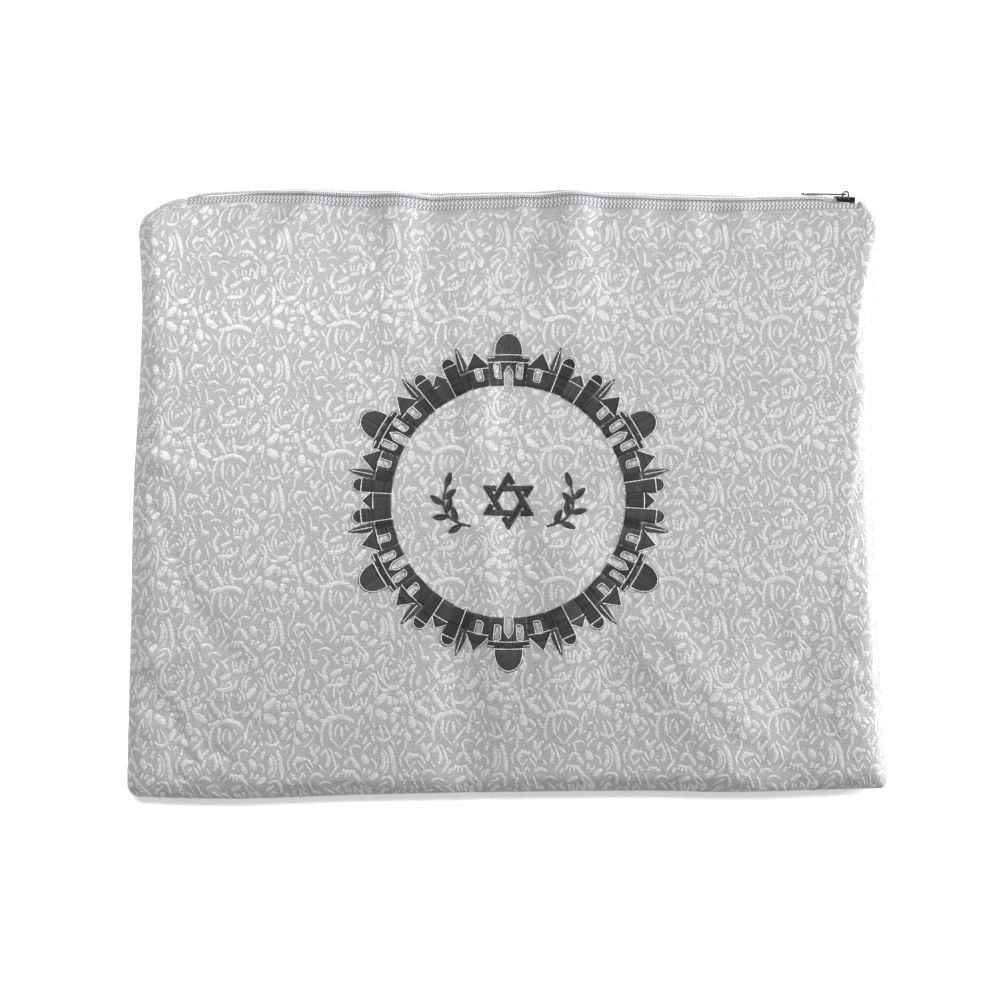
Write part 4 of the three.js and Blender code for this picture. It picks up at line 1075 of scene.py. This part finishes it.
def metal_copy(node, name, bevel):
    """Fitted copy of a metal piece, with its edges rounded and made lighter as a painted highlight"""
    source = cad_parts[node]
    piece = source.copy()
    piece.data = source.data.copy()
    piece.parent = None
    for key in list(piece.keys()):
        del piece[key]
    piece.name = name
    scene.collection.objects.link(piece)
    piece.data.materials.clear()
    piece.data.materials.append(dark_metal)
    piece.data.materials.append(edge_highlight_metal)
    pick_only(piece)
    bpy.ops.object.mode_set(mode="EDIT")
    bpy.ops.mesh.select_all(action="SELECT")
    bpy.ops.mesh.remove_doubles(threshold=0.00001)
    bpy.ops.mesh.dissolve_limited(angle_limit=math.radians(4))
    bpy.ops.object.mode_set(mode="OBJECT")
    rounding = piece.modifiers.new("rounding", "BEVEL")
    rounding.width = bevel * MM
    rounding.segments = 2
    rounding.limit_method = "ANGLE"
    rounding.angle_limit = math.radians(35)
    # The bevel faces take the lighter metal, a painted highlight along every rounded edge
    rounding.material = 1
    rounding.use_clamp_overlap = True
    apply_modifiers(piece)
    bpy.ops.object.shade_smooth_by_angle(angle=math.radians(40))
    return piece


slider = metal_copy("zip_slider", "slider_body", 0.16)
tab = metal_copy("pull_tab", "slider_pull", 0.2)


def on_front(points):
    """Points of the front's cloth under places given by x and y, with its normals"""
    found = []
    normals = []
    for x, y in points:
        hit, normal, _, _ = front_surface.ray_cast(Vector((x, y, 60.0)), Vector((0, 0, -1)))
        found.append((hit.x, hit.y, hit.z))
        normals.append(tuple(normal) if normal.z > 0 else tuple(-normal))
    return np.array(found), np.array(normals)


def fill_lines(outlines, angle, pitch, longest, phase=0.0):
    """Stitch ends that fill outlines, with holes, by lines at one angle"""
    turn = np.array([[math.cos(angle), math.sin(angle)], [-math.sin(angle), math.cos(angle)]])
    turned = [np.asarray(outline) @ turn.T for outline in outlines]
    low = min(part[:, 1].min() for part in turned)
    high = max(part[:, 1].max() for part in turned)
    ends = []
    number = 0
    for level in np.arange(low + pitch / 2, high, pitch):
        crossings = []
        for part in turned:
            nxt = np.roll(part, -1, axis=0)
            hit = (part[:, 1] <= level) != (nxt[:, 1] <= level)
            if hit.any():
                a, b = part[hit], nxt[hit]
                share = (level - a[:, 1]) / (b[:, 1] - a[:, 1])
                crossings.extend(a[:, 0] + share * (b[:, 0] - a[:, 0]))
        crossings.sort()
        number += 1
        for start, stop in zip(crossings[::2], crossings[1::2]):
            if stop - start < 0.5:
                continue
            offset = (number % 3) / 3 + phase
            marks = np.arange(math.floor(start / longest) - 1, math.ceil(stop / longest) + 2)
            marks = (marks + offset) * longest
            cuts = [start, *[m for m in marks if start + 0.7 < m < stop - 0.7], stop]
            for a, b in zip(cuts[:-1], cuts[1:]):
                ends.append(((a, level), (b, level)))
    if not ends:
        return np.zeros((0, 2, 2))
    return np.array(ends) @ turn


def line_stitches(path, longest, closed=False):
    """Stitch ends that follow a line"""
    path = np.asarray(path, float)
    if closed:
        path = np.vstack([path, path[:1]])
    run = run_lengths(path)
    count = max(1, round(run[-1] / longest))
    marks = np.linspace(0, run[-1], count + 1)
    places = np.stack([np.interp(marks, run, path[:, k]) for k in range(2)], axis=-1)
    return np.stack([places[:-1], places[1:]], axis=1)


thread = stitch_template(1.0, 1.0, 1.0)


def embroider(name, ends, tones, width, height, overlap, lift, material):
    """Stitches between pairs of places on the front, each laid on the cloth"""
    ends, tones = np.concatenate(ends), np.concatenate(tones)
    starts, start_normals = on_front(ends[:, 0])
    stops, stop_normals = on_front(ends[:, 1])
    run = stops - starts
    length = np.linalg.norm(run, axis=-1, keepdims=True)
    along = unit(run)
    normal = unit(start_normals + stop_normals)
    across = unit(np.cross(normal, along))
    out = unit(np.cross(along, across))
    centres, _ = on_front(ends.mean(axis=1))
    arch = np.sum((centres - (starts + stops) / 2) * out, axis=-1, keepdims=True)
    middle = (starts + stops) / 2 + out * (lift + np.clip(arch, 0, None))
    places = (middle, along * (length + overlap), across * width, out * height)
    return lay_copies(name, thread, places, tones, material)


def ring_point(degrees, share):
    radius = ring_inner + share * (ring_outer - ring_inner)
    angle = math.radians(degrees)
    return (radius * math.sin(angle), radius * math.cos(angle) + ring_centre_y)


def arc(start, stop, share, steps):
    return [ring_point(start + (stop - start) * k / steps, share) for k in range(steps + 1)]


def building(form, at, half, foot, eaves, top):
    """Outline of one building, tree or window on the ring"""
    steps = max(2, round(half))
    outline = arc(at + half, at - half, foot, steps)
    if form == "block":
        return outline + arc(at - half, at + half, eaves, steps)
    outline.append(ring_point(at - half, eaves))
    if form == "gable":
        outline.append(ring_point(at, top))
    if form == "cypress":
        rise = top - eaves
        for side, share in ((-0.85, 0.3), (-0.45, 0.7), (0, 1), (0.45, 0.7), (0.85, 0.3)):
            outline.append(ring_point(at + side * half, eaves + share * rise))
    if form == "dome":
        for k in range(1, 14):
            angle = math.pi * k / 14
            outline.append(ring_point(at - half * math.cos(angle), eaves + (top - eaves) * math.sin(angle)))
    outline.append(ring_point(at + half, eaves))
    return outline


# One sixth of the town, as half of it: form, at and half in degrees, foot, eaves, top in shares
# of the band, lean of the stitches from upright in degrees, tone (lighter or darker stitches, partly
# painted sheen)
town_table = [
    ("block", 0.0, 8.25, 0.0, 0.5, 0.5, 0, 0.35),
    ("dome", 0.0, 5.6, 0.52, 0.52, 0.9, 0, 0.6),
    ("gable", 13.1, 4.55, 0.0, 0.36, 0.62, 90, 0.45),
    ("block", 19.35, 1.75, 0.0, 0.3, 0.3, 0, 0.25),
    ("cypress", 19.0, 1.7, 0.32, 0.42, 0.78, 35, 0.7),
    ("dome", 23.9, 2.8, 0.0, 0.52, 0.68, 90, 0.3),
    ("gable", 30.0, 3.3, 0.0, 0.36, 0.5, 0, 0.55),
]
window_table = [
    ("gable", 0.0, 1.7, -0.01, 0.2, 0.32),
    ("block", 4.9, 1.1, 0.14, 0.36, 0.36),
    ("block", 13.1, 1.2, 0.12, 0.3, 0.3),
]


def sector_places(at):
    """Degrees of every building of one kind round the ring"""
    places = []
    for k in range(6):
        places.append(k * 60 + at)
        if 0 < at < 30:
            places.append(k * 60 - at)
    return places


def embroidered_ring():
    """The town's walls, roofs and trees, filled with stitches"""
    ends = []
    tones = []
    for form, at, half, foot, eaves, top, lean, tone in town_table:
        for place in sector_places(at):
            outlines = [building(form, place, half, foot, eaves, top)]
            for window in window_table:
                for spot in sector_places(window[1]):
                    off = (spot - place + 180) % 360 - 180
                    if abs(off) < half and foot < 0.1:
                        outlines.append(building(window[0], spot, *window[2:]))
            side = 1 if place % 60 <= 30 else -1
            angle = math.radians(90 - place + side * lean)
            laid = fill_lines(outlines, angle, stitch_pitch, stitch_length, phase=0.37 * place)
            ends.append(laid)
            tones.append(uneven_tones(tone, 0.16, len(laid)))
    return embroider("ring_stitches", ends, tones, stitch_width, stitch_height, 0.35, 0.16, grey_thread)


def ring_outlines():
    """Silver lines along roofs, domes and windows"""
    lines = []
    for form, at, half, foot, eaves, top, _, _ in town_table:
        for place in sector_places(at):
            if form == "dome":
                roof = building(form, place, half * 0.97, foot, eaves, top - 0.015)
                lines.append((roof[len(roof) - 16 :], False))
                lines.append((arc(place - half, place + half, eaves, 4), False))
            if form == "gable":
                foot_left, foot_right = ring_point(place - half, eaves), ring_point(place + half, eaves)
                lines.append(([foot_left, ring_point(place, top), foot_right], False))
                lines.append((arc(place - half, place + half, eaves - 0.05, 4), False))
            if form == "block" and half > 4:
                lines.append((arc(place - half, place - 5.6, eaves - 0.02, 2), False))
                lines.append((arc(place + 5.6, place + half, eaves - 0.02, 2), False))
                lines.append((arc(place - half, place + half, eaves - 0.1, 8), False))
            if form == "cypress":
                lines.append(([ring_point(place, foot + 0.04), ring_point(place, top - 0.06)], False))
    for form, at, half, foot, eaves, top in window_table:
        for place in sector_places(at):
            surround = building(form, place, half + 0.35, foot - 0.02, eaves + 0.02, top + 0.02)
            lines.append((surround, True))
    ends = [line_stitches(path, 1.9, closed) for path, closed in lines]
    tones = [uneven_tones(0.5, 0.25, sum(map(len, ends)))]
    return embroider("ring_outline_stitches", ends, tones, 0.5, 0.42, 0.25, 0.28, silver_thread)


def triangle(radius, turn):
    points = []
    for degrees in (0, 120, 240):
        angle = math.radians(degrees + turn)
        points.append((radius * math.sin(angle), radius * math.cos(angle) + ring_centre_y))
    return points


def embroidered_star():
    """Two laced triangles; every bar is satin stitched across its width"""
    ends = []
    tones = []
    gap = star_stroke * 0.62
    for turn in (0, 180):
        outer = np.array(triangle(star_radius, turn))
        inner = np.array(triangle(star_radius - 2 * star_stroke, turn))
        for k in range(3):
            bar = [outer[k], outer[(k + 1) % 3], inner[(k + 1) % 3], inner[k]]
            run = outer[(k + 1) % 3] - outer[k]
            across = math.atan2(run[1], run[0]) + math.pi / 2
            laid = fill_lines([bar], across, stitch_pitch, 6.0)
            middle = laid.mean(axis=1)
            along = (middle - outer[k]) @ run / (run @ run)
            under = np.abs(along - 1 / 3) * np.linalg.norm(run) < gap
            laid = laid[~under]
            ends.append(laid)
            tones.append(uneven_tones(0.4, 0.16, len(laid)))
    return embroider("star_stitches", ends, tones, stitch_width, 0.42, 0.1, 0.14, grey_thread)


def stem_curve(side, share):
    """Point and direction of a sprig's stem"""
    a = np.array([side * 0.5 * sprig_reach, -0.34 * sprig_reach])
    b = np.array([side * 0.98 * sprig_reach, -0.26 * sprig_reach])
    c = np.array([side * 0.82 * sprig_reach, 0.2 * sprig_reach])
    point = (1 - share) ** 2 * a + 2 * share * (1 - share) * b + share**2 * c
    run = 2 * (1 - share) * (b - a) + 2 * share * (c - b)
    return point + (0, ring_centre_y), run / np.linalg.norm(run)


def embroidered_sprig(side, name):
    """Curved stem with seven leaves, each satin stitched in two halves"""
    ends = []
    tones = []
    stem = np.array([stem_curve(side, k / 24)[0] for k in range(25)])
    for off in (-0.3, 0.3):
        run = unit(np.gradient(stem, axis=0))
        moved = stem + off * np.stack([-run[:, 1], run[:, 0]], axis=-1)
        laid = line_stitches(moved, 1.8)
        ends.append(laid)
        tones.append(np.full(len(laid), 0.45))
    leaves = [(0.97, 0)]
    for place in (0.12, 0.4, 0.68):
        leaves += [(place, 48), (place + 0.1, -48)]
    for place, turn in leaves:
        foot, run = stem_curve(side, place)
        angle = math.radians(turn)
        run = np.array([
            run[0] * math.cos(angle) - run[1] * math.sin(angle),
            run[0] * math.sin(angle) + run[1] * math.cos(angle),
        ])
        normal = np.array([-run[1], run[0]])
        for half in (-1, 1):
            shares = np.linspace(0, 1, 12)
            rim = []
            for s in shares:
                wide = leaf_width * 0.44 * math.sin(math.pi * s**0.85)
                rim.append(foot + leaf_length * s * run + half * wide * normal)
            middle = [foot + leaf_length * s * run + half * 0.06 * normal for s in shares[::-1]]
            slant = math.atan2(run[1], run[0]) + half * math.radians(48)
            laid = fill_lines([rim + middle], slant, stitch_pitch, 5.0)
            ends.append(laid)
            # One half of each leaf is stitched lighter than the other: painted sheen on one slant of the
            # satin
            tones.append(uneven_tones(0.55 if half > 0 else 0.3, 0.12, len(laid)))
    return embroider(name, ends, tones, stitch_width, 0.38, 0.12, 0.14, grey_thread)


ring = embroidered_ring()
ring_lines = ring_outlines()
star = embroidered_star()
sprig_left = embroidered_sprig(-1, "sprig_left_stitches")
sprig_right = embroidered_sprig(1, "sprig_right_stitches")

# What each piece stands for, the body that it rides on, and its finish
bag_pieces = [
    (front_cloth, ["front_panel"], "brocade"),
    (back_cloth, ["back_panel"], "brocade"),
    (front_figure, [], "brocade"),
    (back_figure, [], "brocade"),
    (tape_front, ["zip_tape_front"], "zip_tape"),
    (tape_back, ["zip_tape_back"], "zip_tape"),
    (coil_front, ["zip_coil_front"], "zip_coil"),
    (coil_back, ["zip_coil_back"], "zip_coil"),
    (coil_thread, [], "zip_coil"),
    (slider, ["zip_slider"], "dark_metal"),
    (ring, ["embroidered_ring"], "grey_thread"),
    (ring_lines, [], "grey_thread"),
    (star, ["embroidered_star"], "grey_thread"),
    (sprig_left, ["embroidered_sprig_left"], "grey_thread"),
    (sprig_right, ["embroidered_sprig_right"], "grey_thread"),
]
for piece, nodes, finish in bag_pieces:
    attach(piece, "bag")
    if nodes:
        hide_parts(*nodes)
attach(tab, "pull")
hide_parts("pull_tab")

# Floor, lights and camera
bpy.ops.object.select_all(action="DESELECT")
bpy.ops.mesh.primitive_plane_add(size=6.0, location=(0, 0, -0.0002))
floor = bpy.context.object
floor.name = "floor"
floor.data.materials.append(floor_material())


def area_light(name, place, size, energy):
    data = bpy.data.lights.new(name, "AREA")
    data.energy = energy
    data.shape = "RECTANGLE"
    data.size, data.size_y = size
    light = bpy.data.objects.new(name, data)
    light.location = place
    light.rotation_euler = (-Vector(place)).to_track_quat("-Z", "Y").to_euler()
    scene.collection.objects.link(light)


area_light("window_right", (1.3, 0.15, 0.32), (0.3, 0.5), 27)
area_light("overhead", (-0.35, 0.4, 0.95), (0.3, 0.3), 9.6)
world = bpy.data.worlds.new("soft_studio")
world.use_nodes = True
world.node_tree.nodes["Background"].inputs["Color"].default_value = (1, 1, 1, 1)
world.node_tree.nodes["Background"].inputs["Strength"].default_value = 0.3
scene.world = world
scene.view_settings.view_transform = "Standard"

target = Vector((-0.00398, -0.00477, 0.005))
elevation = math.radians(84)
distance = 0.95
camera_data = bpy.data.cameras.new("photo_camera")
camera_data.lens = 72
camera_data.sensor_width = 36
camera = bpy.data.objects.new("photo_camera", camera_data)
camera.location = target + distance * Vector((0, -math.cos(elevation), math.sin(elevation)))
camera.rotation_euler = (target - camera.location).to_track_quat("-Z", "Y").to_euler()
scene.collection.objects.link(camera)
scene.camera = camera
